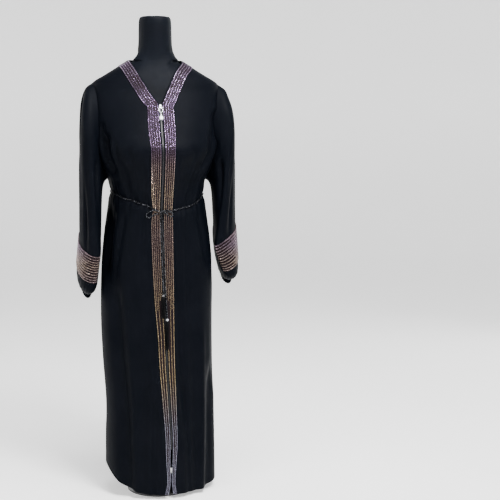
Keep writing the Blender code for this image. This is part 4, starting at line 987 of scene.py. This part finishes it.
def panel(node, points, material, slot="black crepe", closed=False, flip=False, thick=CLOTH):
    """A thin wall of cloth about a grid of points, in place of the model's node."""
    rows, columns = points.shape[:2]
    faces = grid_faces(rows, columns, closed, flip)
    made = mesh_piece(node + "_cloth", points.reshape(-1, 3), faces, material)
    wall = made.modifiers.new("wall", "SOLIDIFY")
    wall.thickness = thick
    wall.offset = 0.0
    return dress(made, slot, node)


def band(node, patch, rows, columns, flip):
    """The cloth strip under the stones, just proud of those rows and columns of a patch."""
    strip = patch.points[rows, columns] + patch.normals[rows, columns] * (BAND_LOW + BAND_THICK / 2)
    return panel(node, strip, band_cloth, "small stones", flip=flip, thick=BAND_THICK)


def declare_sheet(piece, points, rests_on, held="draped", closed=False, with_pieces=()):
    """States a panel's cut: its widest row, its longest column and its area, measured along the cloth."""
    grid = np.concatenate([points, points[:, :1]], axis=1) if closed else points
    steps = (np.linalg.norm(np.diff(grid, axis=way), axis=2).sum(axis=way) for way in (1, 0))
    width, length = (float(sums.max()) for sums in steps)
    crossed = np.cross(grid[1:, 1:] - grid[:-1, :-1], grid[1:, :-1] - grid[:-1, 1:])
    area = float(np.linalg.norm(crossed, axis=2).sum() / 2)
    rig.sheet(piece, flat=(width, length), held=held, area=area, rests_on=rests_on, with_pieces=with_pieces)
    print("cut of", piece.name, round(width, 3), round(length, 3), round(area, 4))


def declare_cord(piece, path, far_end, with_pieces=()):
    """States a free length of the belt's cord, measured along its middle."""
    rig.cord(piece, exit=path[0], length=float(run_along(path)[-1]), diameter=CORD, far_end=far_end,
            stiffness="limp", lay="hanging", path=path, with_pieces=with_pieces)


def copies(name, mould, faces, places, axes, sizes, material, smooth=False):
    """One mesh with a copy of a small mould at each place, in its own axes and at its own size."""
    mould = np.array(mould, float)
    count, corners = len(places), len(mould)
    local = mould[None, :, :] * sizes[:, None, :]
    points = places[:, None, :] + np.einsum("nkj,nji->nki", local, axes)
    every = (np.arange(count) * corners)[:, None, None] + np.array(faces)[None, :, :]
    return mesh_piece(name, points.reshape(-1, 3), every.reshape(-1, every.shape[-1]), material, smooth)


def cut_stone():
    """A stone of unit width: its girdle on the cloth, sloping facets and a flat table."""
    turns = np.arange(STONE_SIDES) * 2 * math.pi / STONE_SIDES
    points = ring(0.0, 0.0, 0.0, 0.5, turns) + ring(0.0, 0.0, STONE_HEIGHT, STONE_TABLE, turns)
    faces = []
    for k in range(STONE_SIDES):
        m = (k + 1) % STONE_SIDES
        faces += [(k, m, STONE_SIDES + m), (k, STONE_SIDES + m, STONE_SIDES + k)]
    faces += [(STONE_SIDES, STONE_SIDES + k, STONE_SIDES + k + 1) for k in range(1, STONE_SIDES - 1)]
    return points, faces


def stones_on(name, patch, lines, material):
    """Small stones along lines of a patch; each line has its rows, columns, stone width and pitch."""
    chance = np.random.default_rng(STONE_SEED)
    places, axes, sizes = [], [], []
    for rows, columns, width, pitch in lines:
        dense = patch.at(rows, columns)
        run = run_along(dense)
        at = np.arange(pitch / 2, run[-1], pitch)
        if not len(at):
            continue
        at = at + chance.uniform(-STONE_STRAY, STONE_STRAY, len(at)) * pitch
        row, column = np.interp(at, run, rows), np.interp(at, run, columns)
        normal = patch.read(patch.normals, row, column)
        normal = unit(normal + chance.normal(0, STONE_TILT, normal.shape))
        side = unit(np.cross(normal, along_run(at, run, np.gradient(dense, run, axis=0))))
        places.append(patch.at(row, column, STONE_LOW))
        axes.append(np.stack([np.cross(side, normal), side, normal], axis=1))
        sizes.append((width * chance.uniform(*STONE_SIZES, (len(at), 1))) * np.ones((1, 3)))
    mould, faces = cut_stone()
    places, axes, sizes = (np.concatenate(found) for found in (places, axes, sizes))
    return dress(copies(name, mould, faces, places, axes, sizes, material), "small stones")


def smooth_path(points, step):
    """Points about a step apart on a smooth curve through the given ones."""
    points = np.array(points, float)
    run = run_along(points)
    at = np.linspace(0, run[-1], max(2, int(round(run[-1] / step)) + 1))
    return np.stack([smooth_value(run, column, at) for column in points.T], axis=1)


def tree_of(objects):
    """A search tree of the objects' skins as they are shown."""
    points, faces = [], []
    bpy.context.view_layer.update()
    shown = bpy.context.evaluated_depsgraph_get()
    for thing in objects:
        start = len(points)
        shape = thing.evaluated_get(shown).to_mesh()
        points += [thing.matrix_world @ v.co for v in shape.vertices]
        faces += [tuple(i + start for i in p.vertices) for p in shape.polygons]
    return BVHTree.FromPolygons(points, faces)


def seat(tree, start, way, clearance):
    """The nearest place along a way from start at which a round of that clearance clears the tree."""
    start, way = Vector(start), Vector(way).normalized()
    for step in range(SEAT_STEPS + 1):
        reach = SEAT_REACH * (1 - step / SEAT_STEPS)
        if tree.find_nearest(start + way * reach)[3] < clearance:
            return np.array(start + way * (reach + SEAT_REACH / SEAT_STEPS))
    return np.array(start)


def frames_along(path):
    """Unit side and up vectors at each point of a path, turned as little as possible from one to the next."""
    along = unit(np.gradient(path, axis=0))
    sides = [np.cross(along[0], BRAID_ASIDE)]
    for way in along:
        sides.append(unit(sides[-1] - way * np.dot(sides[-1], way)))
    sides = np.array(sides[1:])
    return sides, np.cross(along, sides)


def braid(node, path):
    """A round cord of plaited strands, with its own length and turn as texture coordinates, and its line."""
    path = smooth_path(path, BRAID_STEP)
    side, up = frames_along(path)
    run = run_along(path)
    turns = 2 * math.pi * np.arange(BRAID_SIDES) / BRAID_SIDES
    twist = run[:, None] / BRAID_TURN * 2 * math.pi
    bump = np.abs(np.sin(2 * turns[None] + twist)) * np.abs(np.sin(2 * turns[None] - twist))
    radius = CORD / 2 * (1 - BRAID_DEPTH + BRAID_DEPTH * bump)
    radius[[0, -1]] *= BRAID_TIP
    points = path[:, None] + radius[..., None] * (side[:, None] * np.cos(turns)[None, :, None]
                                                  + up[:, None] * np.sin(turns)[None, :, None])
    squares = grid_faces(len(path), BRAID_SIDES, closed=True)
    caps = [np.arange(BRAID_SIDES)[::-1], np.arange(BRAID_SIDES) + (len(path) - 1) * BRAID_SIDES]
    faces = squares.tolist() + [cap.tolist() for cap in caps]
    made = mesh_piece(node + "_cord", points.reshape(-1, 3), faces, plait)
    turn = squares % BRAID_SIDES
    seam = (turn.max(axis=1, keepdims=True) == BRAID_SIDES - 1) & (turn == 0)
    turn = np.concatenate([np.where(seam, BRAID_SIDES, turn).ravel(), *(cap % BRAID_SIDES for cap in caps)])
    row = np.concatenate([squares.ravel(), *caps]) // BRAID_SIDES
    layer = made.data.uv_layers.new(name="cord")
    layer.data.foreach_set("uv", np.stack([run[row] / BRAID_TURN, turn / BRAID_SIDES], axis=1).ravel())
    return dress(made, "braided cord", node), path


class Finish:
    """A new material: plain values on its shader, and the textures that feed its sockets."""

    def __init__(self, name, colour, roughness, metallic=0.0, values=()):
        self.material = bpy.data.materials.new(name)
        self.material.use_nodes = True
        self.tree = self.material.node_tree
        self.shader = self.tree.nodes["Principled BSDF"]
        plain = {"Base Color": (*colour, 1.0), "Roughness": roughness, "Metallic": metallic}
        for socket, value in {**plain, **dict(values)}.items():
            self.shader.inputs[socket].default_value = value

    def node(self, kind, values=(), **sources):
        """A new node with plain values, and with sockets that feed its inputs."""
        made = self.tree.nodes.new("ShaderNode" + kind)
        for socket, value in dict(values).items():
            made.inputs[socket].default_value = value
        for socket, source in sources.items():
            self.tree.links.new(source, made.inputs[socket])
        return made

    def feed(self, socket, source):
        """Lets a socket feed one of the shader's."""
        self.tree.links.new(source, self.shader.inputs[socket])

    def noise(self, scale, detail=3.0, stretch=None):
        """A noise in the piece's own space, stretched if asked."""
        source = self.node("TexCoord").outputs["Object"]
        if stretch:
            source = self.node("Mapping", {"Scale": stretch}, Vector=source).outputs["Vector"]
        return self.node("TexNoise", {"Scale": scale, "Detail": detail}, Vector=source).outputs["Fac"]

    def ramp(self, source, stops):
        """A colour ramp over a socket; each stop is a place and a colour."""
        made = self.node("ValToRGB", Fac=source)
        elements = made.color_ramp.elements
        while len(elements) < len(stops):
            elements.new(0.5)
        for element, (place, colour) in zip(elements, stops):
            element.position = place
            element.color = (*colour, 1.0)
        return made.outputs["Color"]

    def level(self, source, low, high):
        """A socket's values brought to a range."""
        return self.node("MapRange", {"To Min": low, "To Max": high}, Value=source).outputs["Result"]

    def bumps(self, rows):
        """Bumps in series, each with its noise, its strength and its distance in metres."""
        last = {}
        for noise, strength, distance in rows:
            values = {"Strength": strength, "Distance": distance}
            bump = self.node("Bump", values, Height=self.noise(*noise), **last)
            last = {"Normal": bump.outputs["Normal"]}
        if last:
            self.feed("Normal", last["Normal"])


def drifting_finish(name, plain, tone, stops, wear=None, rough=(), bumps=(), values=()):
    """A finish whose colour and roughness drift with noises, each a scale, a detail and a stretch.

    plain is its colour, roughness and metallic value. The noise tone runs through the colour's stops, and the
    noise wear runs from the first roughness to the second.
    """
    finish = Finish(name, *plain, values=values)
    finish.feed("Base Color", finish.ramp(finish.noise(*tone), stops))
    if wear:
        finish.feed("Roughness", finish.level(finish.noise(*wear), *rough))
    finish.bumps(bumps)
    return finish.material


def crepe_finish(name, colour, light, roughness):
    """Matt crepe with a soft sheen: pebbled weave, slight rub and shade changes."""
    return drifting_finish(
        name, (colour, roughness), tone=(9.0, 4.0), stops=((0.35, colour), (0.70, light)),
        wear=(34.0,), rough=(roughness - 0.07, roughness + 0.07),
        bumps=(((1500.0, 2.0), 0.35, 0.0003), ((28.0, 3.0, (1.0, 1.0, 0.35)), 0.25, 0.0022)),
        values={"Sheen Weight": 0.002, "Sheen Roughness": 0.35, "Sheen Tint": (0.72, 0.80, 0.95, 1.0),
                "Specular IOR Level": 0.025})


def stone_finish(name, tints):
    """Small foiled stones, tinted by their height as a share of the neck point's."""
    finish = Finish(name, (0.6, 0.58, 0.62), 0.16, 0.75)
    place = finish.node("TexCoord").outputs["Object"]
    split = finish.node("SeparateXYZ", Vector=place)
    height = finish.node("MapRange", {"From Min": 0.0, "From Max": NECK_POINT_Z}, Value=split.outputs["Z"])
    grain = finish.node("TexVoronoi", {"Scale": 330.0}, Vector=place)
    mix = finish.node("Mix")
    mix.data_type = "RGBA"
    mix.blend_type = "MULTIPLY"
    mix.inputs["Factor"].default_value = 0.85
    finish.tree.links.new(finish.ramp(height.outputs["Result"], tints), mix.inputs["A"])
    finish.tree.links.new(finish.ramp(grain.outputs["Color"], STONE_SHADES), mix.inputs["B"])
    finish.feed("Base Color", mix.outputs["Result"])
    finish.feed("Roughness", finish.level(finish.noise(260.0, 1.0), 0.08, 0.34))
    return finish.material


def cord_finish(name):
    """Plaited cord: black strands, some of them crossed by silver thread."""
    finish = Finish(name, (0.003, 0.003, 0.004), 0.6, values={"Specular IOR Level": 0.05})
    place = finish.node("UVMap")
    place.uv_map = "cord"
    slant = finish.node("Mapping", {"Scale": (4.0, 4.0, 1.0), "Rotation": (0.0, 0.0, math.radians(45))},
                        Vector=place.outputs["UV"])
    checks = finish.node("TexChecker", {"Color1": (*BLACK, 1.0), "Color2": (*WHITE, 1.0), "Scale": 1.0},
                         Vector=slant.outputs["Vector"])
    both = finish.node("Math")
    both.operation = "MULTIPLY"
    sparse = finish.ramp(finish.noise(420.0, 1.0), ((0.56, BLACK), (0.62, WHITE)))
    finish.tree.links.new(checks.outputs["Color"], both.inputs[0])
    finish.tree.links.new(sparse, both.inputs[1])
    silver_share = both.outputs["Value"]
    stops = ((0.0, (0.0010, 0.0012, 0.0018)), (1.0, (0.32, 0.33, 0.37)))
    finish.feed("Base Color", finish.ramp(silver_share, stops))
    finish.feed("Roughness", finish.level(silver_share, 0.62, 0.26))
    finish.feed("Metallic", finish.level(silver_share, 0.0, 0.85))
    finish.bumps((((2600.0, 2.0), 0.4, 0.0002),))
    return finish.material


def thread_finish(name, colour, light, scale):
    """Spun thread or woven tape: a fine grain with a slight shade change."""
    fine = (scale, 3.0, (1.0, 1.0, 0.25))
    return drifting_finish(
        name, (colour, 0.62), tone=fine, stops=((0.3, colour), (0.7, light)),
        wear=(60.0,), rough=(0.52, 0.72), bumps=((fine, 0.5, 0.0003),),
        values={"Sheen Weight": 0.003, "Sheen Roughness": 0.4, "Specular IOR Level": 0.06})


def crystal_finish(name, bright):
    """Clear cut crystal with a foil look of some brightness, slight tint and fine flaws."""
    flaws = (420.0, 2.0)
    low, high = (tuple(bright * value for value in tint) for tint in CRYSTAL_TINTS)
    return drifting_finish(
        name, ((0.93, 0.94, 0.97), 0.04), tone=flaws, stops=((0.3, low), (0.6, high)),
        wear=flaws, rough=(0.02, 0.10),
        values={"Transmission Weight": 0.35, "IOR": 1.62, "Coat Weight": 0.6, "Coat Roughness": 0.03})


def paint_finish(name, colour):
    """Satin paint with orange peel, dust and rubbed patches."""
    cloud = (30.0, 4.0)
    light = tuple(value * 1.8 for value in colour)
    return drifting_finish(
        name, (colour, 0.40), tone=cloud, stops=((0.35, colour), (0.75, light)),
        wear=cloud, rough=(0.32, 0.54), bumps=(((420.0, 2.0), 0.2, 0.0003),), values={"Coat Weight": 0.2})


def make_camera():
    """The camera stands a little to the wearer's right of the front, above the waist."""
    turn = math.radians(CAMERA_AZIMUTH)
    data = bpy.data.cameras.new("camera")
    data.sensor_width = SENSOR_WIDTH
    data.lens = SENSOR_WIDTH / 2 / math.tan(math.radians(CAMERA_FIELD / 2))
    camera = add_object("camera", data)
    camera.location = (math.sin(turn) * CAMERA_DISTANCE, -math.cos(turn) * CAMERA_DISTANCE, CAMERA_HEIGHT)
    aim = Vector((math.cos(turn) * AIM_RIGHT, math.sin(turn) * AIM_RIGHT, AIM_HEIGHT))
    camera.rotation_euler = (aim - camera.location).to_track_quat("-Z", "Y").to_euler()
    bpy.context.scene.camera = camera


def make_light(name, place, aim, size, power):
    """A soft rectangular light that looks at its aim."""
    data = bpy.data.lights.new(name, "AREA")
    data.shape = "RECTANGLE"
    data.size, data.size_y = size
    data.energy = power
    light = add_object(name, data)
    light.location = place
    light.rotation_euler = (Vector(aim) - Vector(place)).to_track_quat("-Z", "Y").to_euler()


def make_studio():
    """A pale round floor that rises far out on every side, soft lights and an even surround."""
    profile = [(FLOOR_MIDDLE, 0.0), (FLOOR_NEAR, 0.0), (FLOOR_REACH, 0.0)]
    profile += [(FLOOR_REACH + BOWL * math.sin(t), BOWL - BOWL * math.cos(t)) for t in BOWL_TURNS]
    profile.append((FLOOR_REACH + BOWL, WALL_TOP))
    turns = 2 * math.pi * np.arange(FLOOR_SIDES) / FLOOR_SIDES
    points = [p for reach, z in profile for p in ring(0.0, 0.0, z, reach, turns)]
    faces = grid_faces(len(profile), FLOOR_SIDES, closed=True, flip=True)
    pale = drifting_finish("studio", ((0.90,) * 3, 0.75), tone=(2.0, 2.0), stops=FLOOR_SHADES,
                           values={"Emission Color": (*WHITE, 1.0), "Emission Strength": FLOOR_GLOW})
    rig.stage(mesh_piece("studio_floor", points, faces, pale))
    for light in LIGHTS:
        make_light(*light)
    world = bpy.data.worlds.new("studio")
    world.use_nodes = True
    surround = world.node_tree.nodes["Background"].inputs
    surround["Color"].default_value = (*WHITE, 1.0)
    surround["Strength"].default_value = WORLD_STRENGTH
    bpy.context.scene.world = world


def cut_bead(side, middle, radius, material):
    """A cut bead: flat facets round a ball, a little short from end to end."""
    name = "bead_%s_cut" % side
    shape = bmesh.new()
    bmesh.ops.create_uvsphere(shape, u_segments=12, v_segments=8, radius=radius)
    for v in shape.verts:
        v.co = Vector((v.co.x, v.co.y, v.co.z * BEAD_LENGTH)) + Vector(middle)
    data = bpy.data.meshes.new(name)
    shape.to_mesh(data)
    shape.free()
    data.materials.append(material)
    return dress(add_object(name, data), "clear crystal", "bead_" + side)


def tassel(side, seed):
    """A wound head and many fine threads that hang from it, in the room of the model's tassel."""
    low, high = (np.array(corner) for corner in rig.box("tassel_" + side))
    x, y, _ = (low + high) / 2
    turns = 2 * math.pi * np.arange(TASSEL_SIDES) / TASSEL_SIDES
    points = []
    for share in np.linspace(0, 1, HEAD_RINGS):
        wound = 1.0 + HEAD_RIDGE * math.cos(share * 2 * math.pi * HEAD_TURNS)
        radius = CAP_RADIUS * min(1.0, HEAD_TOP + 2.0 * share) * wound
        radius = radius * (HEAD_NECK if 0.55 < share < 0.8 else 1.0)
        points += ring(x, y, high[2] - CAP_HEIGHT * share, radius, turns)
    faces = grid_faces(HEAD_RINGS, TASSEL_SIDES, closed=True, flip=True).tolist()
    strand = grid_faces(THREAD_RINGS, 3, closed=True, flip=True)
    chance = np.random.default_rng(seed)
    reach = (high[0] - low[0]) / 2
    top = high[2] - CAP_HEIGHT + THREAD_ROOT
    for _ in range(THREADS):
        turn = chance.uniform(0, 2 * math.pi)
        start = CAP_RADIUS * HEAD_NECK * math.sqrt(chance.uniform(0, 1))
        end = min(reach * 0.97, start * chance.uniform(*THREAD_SPREAD))
        stop = low[2] + chance.uniform(0.0, THREAD_UNEVEN)
        wave = chance.uniform(-THREAD_WAVE, THREAD_WAVE, 2)
        faces += (strand + len(points)).tolist()
        for share in np.linspace(0, 1, THREAD_RINGS):
            radius = start + (end - start) * share
            bend = math.sin(share * math.pi * 2) * wave
            wide = THREAD_RADIUS * (1.0 if share < 1 else 0.5)
            points += ring(x + radius * math.cos(turn) + bend[0], y + radius * math.sin(turn) + bend[1],
                           top - (top - stop) * share, wide, THREAD_CORNERS)
    made = mesh_piece("tassel_%s_threads" % side, points, faces, thread)
    return dress(made, "black fringe", "tassel_" + side)


def smooth_form(cloths):
    """The torso with smooth sides, kept just inside the cloth that it carries."""
    made = add_object("form_torso_cover", frame["nodes"]["form_torso"].data.copy())
    made.data.materials.clear()
    made.data.materials.append(cover)
    shape = bmesh.new()
    shape.from_mesh(made.data)
    bmesh.ops.remove_doubles(shape, verts=shape.verts[:], dist=FORM_WELD)
    bmesh.ops.dissolve_limit(shape, angle_limit=FORM_FLAT, verts=shape.verts[:], edges=shape.edges[:])
    shape.to_mesh(made.data)
    shape.free()
    soften = made.modifiers.new("soften", "SUBSURF")
    soften.levels = soften.render_levels = 2
    bpy.context.view_layer.update()
    data = bpy.data.meshes.new_from_object(made.evaluated_get(bpy.context.evaluated_depsgraph_get()))
    made.modifiers.clear()
    made.data = data
    tree = tree_of(cloths)
    for vertex in data.vertices:
        start = Vector((0.0, AXIS_Y, vertex.co.z))
        way = vertex.co - start
        if way.length < 0.01:
            continue
        met = tree.ray_cast(start, way, way.length + FORM_CLEAR)[3]
        if met is not None:
            vertex.co = start + way / way.length * (met - FORM_CLEAR)
    data.shade_smooth()
    return dress(made, "form cover", "form_torso")


def zip_line(left, right):
    """Rows of the closed zip, the middle between the fronts' edges there, and the way out of the cloth."""
    low, high = (int(np.argmin(np.abs(left.points[:, 0, 2] - z))) for z in (ZIP_BOTTOM_Z, NECK_LOW_Z))
    rows = np.arange(low, high + 1)
    out = left.normals[rows, 0] + right.normals[rows, 0]
    out[:, 0] = 0
    return rows, (left.points[rows, 0] + right.points[rows, 0]) / 2, unit(out)


def zip_tape(side, patch, line, flip):
    """One tape behind a front's edge, as a thin strip."""
    rows, middle, out = line
    edge = patch.points[rows, 0]
    way = unit(patch.points[rows, 2] - edge)
    gap = np.linalg.norm(edge - middle, axis=1, keepdims=True)
    behind = -out * (CLOTH / 2 + GAP + TAPE_THICK / 2)
    strip = np.stack([middle + behind, edge + behind, edge + way * (TAPE_HALF - gap) + behind], axis=1)
    return panel("zip_tape_" + side, strip, tape_cloth, "zip tape", flip=flip, thick=TAPE_THICK)


def zip_teeth(line):
    """The closed coil: small rounded teeth from the two sides in turn, on a raised line."""
    _, middle, out = line
    run = run_along(middle)
    at = np.arange(TOOTH_PITCH / 2, run[-1] - SLIDER_ROOM, TOOTH_PITCH / 2)
    normal = unit(along_run(at, run, out))
    across = np.tile([1.0, 0.0, 0.0], (len(at), 1))
    up = np.cross(normal, across)
    way = np.where(np.arange(len(at)) % 2 == 0, TOOTH_ASIDE, -TOOTH_ASIDE)
    places = along_run(at, run, middle) + across * way[:, None] - normal * TOOTH_SUNK
    corners = ((-1, -1), (1, -1), (1, 1), (-1, 1))
    wide, long, high = TOOTH_TOP
    mould = [(x, y, -1) for x, y in corners] + [(wide * x, long * y, high) for x, y in corners]
    faces = [(0, 1, 5, 4), (1, 2, 6, 5), (2, 3, 7, 6), (3, 0, 4, 7), (4, 5, 6, 7), (3, 2, 1, 0)]
    sizes = np.tile(np.array(TOOTH_SIZE) / 2, (len(at), 1))
    axes = np.stack([across, up, normal], axis=1)
    return dress(copies("zip_teeth", mould, faces, places, axes, sizes, teeth_plastic), "zip tape")


def band_lines(patch, lit):
    """Lines of bright or of shaded stones along a front's band, from the hem to the shoulder seam."""
    columns = front_columns()
    heights = patch.points[:, 0, 2]
    lines = []
    for share, width, pitch, low, bright in BAND_STONES:
        if bright == lit:
            column = np.interp(1 + 2 * share, columns, np.arange(len(columns)))
            first = FRONT_MARGINS[0] + np.interp(low, heights, np.arange(len(heights)))
            rows = np.linspace(first, len(heights) - FRONT_MARGINS[1], FRONT_LINE_POINTS)
            lines.append((rows, np.full(len(rows), column), width, pitch))
    return lines


def sleeve_lines():
    """Lines of stones round the outer face of a sleeve, close together but for the comb at the front edge."""
    first, last = BAND_FIRST_LOOP * LOOP_STEPS, BAND_LAST_LOOP * LOOP_STEPS
    start, stop = BAND_FIRST_COLUMN * UPPER_STEPS, BAND_LAST_COLUMN * UPPER_STEPS
    step = (last - first) * SLEEVE_FILL / (SLEEVE_ROWS - 1)
    lines = []
    for k in range(SLEEVE_ROWS):
        row = first + (last - first) * (1 - SLEEVE_FILL) / 2 + step * k
        begin = start + (stop - start) * (COMB_REACH + COMB_SWAY * math.sin(2.1 * k))
        columns = np.linspace(start + SLEEVE_MARGIN, stop - SLEEVE_MARGIN, SLEEVE_LINE_POINTS)
        comb = np.linspace(begin, stop - 2 * SLEEVE_MARGIN, COMB_LINE_POINTS)
        lines.append((np.full(len(columns), row), columns, *SLEEVE_STONE))
        lines.append((np.full(len(comb), row + step * COMB_STEP), comb, *COMB_STONE))
    return lines[:-1]


make_camera()
make_studio()

# Finishes
crepe = crepe_finish("crepe", (0.0010, 0.0015, 0.0028), (0.0018, 0.0023, 0.0038), 0.56)
cuff_crepe = crepe_finish("cuff_crepe", (0.0008, 0.0012, 0.0026), (0.0014, 0.0020, 0.0038), 0.62)
band_cloth = thread_finish("band_cloth", (0.0030, 0.0016, 0.0020), (0.0100, 0.0052, 0.0062), 700.0)
stones = stone_finish("foiled_stones", STONE_TINTS)
shaded_stones = stone_finish("shaded_stones", SHADED_TINTS)
sleeve_stones = stone_finish("sleeve_stones", SLEEVE_TINTS)
tape_cloth = thread_finish("tape_cloth", (0.0035, 0.0035, 0.0045), (0.0080, 0.0080, 0.0100), 1500.0)
teeth_plastic = paint_finish("teeth_plastic", (0.0080, 0.0080, 0.0095))
scratches = (900.0, 4.0, (1.0, 0.3, 1.0))
silver = drifting_finish(
    "plated_silver", (SILVER, 0.22, 1.0), tone=(240.0, 2.0),
    stops=((0.3, tuple(0.72 * value for value in SILVER)), (0.65, SILVER)),
    wear=scratches, rough=(0.16, 0.38), bumps=((scratches, 0.12, 0.0001),))
crystal = crystal_finish("cut_crystal", 0.65)
shaded_crystal = crystal_finish("shaded_crystal", 0.16)
plait = cord_finish("plaited_cord")
thread = thread_finish("tassel_thread", (0.0006, 0.0006, 0.0009), (0.0016, 0.0016, 0.0022), 1100.0)
cover = drifting_finish(
    "form_jersey", ((0.030, 0.035, 0.050), 0.6), tone=(11.0, 4.0),
    stops=((0.3, (0.0009, 0.0014, 0.0028)), (0.7, (0.0018, 0.0027, 0.0048))),
    wear=(45.0,), rough=(0.50, 0.68),
    bumps=(((1200.0, 2.0, (1.0, 1.0, 0.5)), 0.3, 0.0003), ((70.0, 2.0), 0.12, 0.0010)),
    values={"Sheen Weight": 0.005, "Sheen Roughness": 0.45, "Sheen Tint": (0.75, 0.82, 0.98, 1.0),
            "Specular IOR Level": 0.05})
paint = paint_finish("stand_satin", (0.010, 0.010, 0.011))

# Cloth: the fronts, the back, the sleeves and their casings
fronts = {side: Patch(front_grid(sign), outward=sign > 0) for side, sign, _ in SIDES}
back = Patch(back_grid(fronts["left"].points, fronts["right"].points), outward=True)
seam = len(refined(HEM_ROWS, LOW_STEPS)) - 1
casing = CASING_LOOP * LOOP_STEPS
cloths, sleeves, trims = {}, {}, {}
for side, sign, _ in SIDES:
    cloths["front_" + side] = panel("front_" + side, fronts[side].points, crepe, flip=sign > 0)
cloths["back"] = panel("back", back.points, crepe, flip=True)
for side, sign, rows in SIDES:
    rear = back.points[:, 0 if sign > 0 else -1]
    armhole = np.concatenate([fronts[side].points[seam:, -1], rear[seam + 1:-1][::-1]])
    sleeves[side] = Patch(sleeve_loops(rows, sign, armhole), outward=sign < 0, closed=True)
    loops = sleeves[side].points
    for node, part, finish in (("sleeve_" + side, loops[:casing + 1], crepe),
                               ("cuff_" + side, loops[casing:], cuff_crepe)):
        cloths[node] = panel(node, part, finish, closed=True, flip=sign < 0)

# Bands and stones
band_columns = slice(2, 3 + 2 * BAND_STEPS)
sleeve_rows = slice(BAND_FIRST_LOOP * LOOP_STEPS, BAND_LAST_LOOP * LOOP_STEPS + 1)
sleeve_columns = slice(BAND_FIRST_COLUMN * UPPER_STEPS, BAND_LAST_COLUMN * UPPER_STEPS + 1)
for side, sign, _ in SIDES:
    front, sleeve = fronts[side], sleeves[side]
    trims["front_" + side] = [
        band("front_band_" + side, front, slice(None), band_columns, sign > 0),
        stones_on("front_stones_" + side, front, band_lines(front, True), stones),
        stones_on("front_beads_" + side, front, band_lines(front, False), shaded_stones),
    ]
    trims["sleeve_" + side] = [
        band("sleeve_band_" + side, sleeve, sleeve_rows, sleeve_columns, sign < 0),
        stones_on("sleeve_stones_" + side, sleeve, sleeve_lines(), sleeve_stones),
    ]

# Zip
line = zip_line(fronts["left"], fronts["right"])
for side, sign, _ in SIDES:
    trims["front_" + side].append(zip_tape(side, fronts[side], line, sign < 0))
trims["front_left"].append(zip_teeth(line))

# What every panel is cut from
for side, patch in fronts.items():
    declare_sheet(cloths["front_" + side], patch.points, ["form_torso"], with_pieces=trims["front_" + side])
declare_sheet(cloths["back"], back.points, ["form_torso"])
for side, patch in sleeves.items():
    loops = patch.points
    front, sleeve, cuff = (cloths[node + side] for node in ("front_", "sleeve_", "cuff_"))
    declare_sheet(sleeve, loops[:casing + 1], [front], "hung", True, trims["sleeve_" + side])
    declare_sheet(cuff, loops[casing:], [sleeve], "gathered", True)

# Dress form, stand and the zip's pull, which keep the model's own shapes but for the torso
smooth_form(list(cloths.values()))
for node, material in (("zip_slider", silver), ("zip_ring", silver), ("zip_drop", silver),
                       ("zip_crystal", crystal), ("form_pole", paint), ("form_base", paint)):
    for slot in frame["nodes"][node].material_slots:
        slot.material = material

# Belt round the waist, seated on the cloth
laid = [thing for thing in bpy.data.objects if thing.name.startswith(("front_", "back_cloth", "zip_tape_"))
        and thing.name.endswith("_cloth")]
tree = tree_of(laid)
angles = BELT_TURN + np.linspace(BELT_START, 360 - BELT_START, BELT_FINE * (BELT_POINTS - 1) + 1)
starts = surface(angles, np.full(len(angles), WAIST_Z))
ways = np.stack([np.sin(np.radians(angles)), -np.cos(np.radians(angles)), 0 * angles], axis=-1)
reach = [np.dot(seat(tree, p, way, CORD / 2 + BELT_SLACK) - p, way) for p, way in zip(starts, ways)]
path = [starts[k] + ways[k] * max(reach[max(k - BELT_FINE, 0):k + BELT_FINE + 1])
        for k in range(0, len(angles), BELT_FINE)]
belt, _ = braid("belt_waist", path)
knot_place = (path[0] + path[-1]) / 2 + np.array(KNOT_OUT)
tree = tree_of([*laid, belt])

# Bow and knot
for node, sign, reach, drop in BOWS:
    start, end = (knot_place + np.array([sign * (KNOT_HALF[0] + BOW_GAP), 0.0, up]) for up in BOW_ROOTS)
    path = [start] + [start + np.array([sign * reach * x, 0.0, drop * z]) for x, z in BOW_LINE] + [end]
    path = [seat(tree, (x, y + SEAT_BACK, z), (0, -1, 0), CORD / 2 + 2 * BELT_SLACK)
            for x, y, z in smooth_path(path, BOW_STEP)]
    declare_cord(*braid(node, path), "object")
turns = np.linspace(0, KNOT_TURN, 60)
wound = np.stack([KNOT_ROUND * np.cos(turns), np.sin(turns), KNOT_ROUND * np.sin(1.5 * turns)], axis=1)
braid("belt_knot", knot_place + (np.array(KNOT_HALF) - CORD / 2) * wound)

# Hanging ends with their beads and tassels
for side, sign, lateral, bead_z, bead_radius in BELT_ENDS:
    hang_y = sum(corner[1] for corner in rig.box("bead_" + side)) / 2
    top = knot_place + np.array([sign * END_ASIDE, -END_OUT, -(KNOT_HALF[2] + BOW_GAP)])
    stop = np.array([lateral, hang_y, bead_z + bead_radius + GAP])
    path = [top + (stop - top) * share + np.array([sign * sway, -out, 0.0]) for share, sway, out in END_LINE]
    tip = (lateral, hang_y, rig.box("tassel_" + side)[1][2] - CORD_INSIDE)
    end, path = braid("belt_end_" + side, [*smooth_path(path, END_STEP), tip])
    glass = shaded_crystal if side == "right" else crystal
    bead = cut_bead(side, (lateral, hang_y, bead_z), bead_radius * BEAD_SHARE, glass)
    declare_cord(end, path, "knot", [bead, tassel(side, TASSEL_SEED + sign)])

low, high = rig.bounds()
with open("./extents.json", "w") as report:
    json.dump({"cad": [list(cad_low), list(cad_high)], "visual": [list(low), list(high)]}, report)
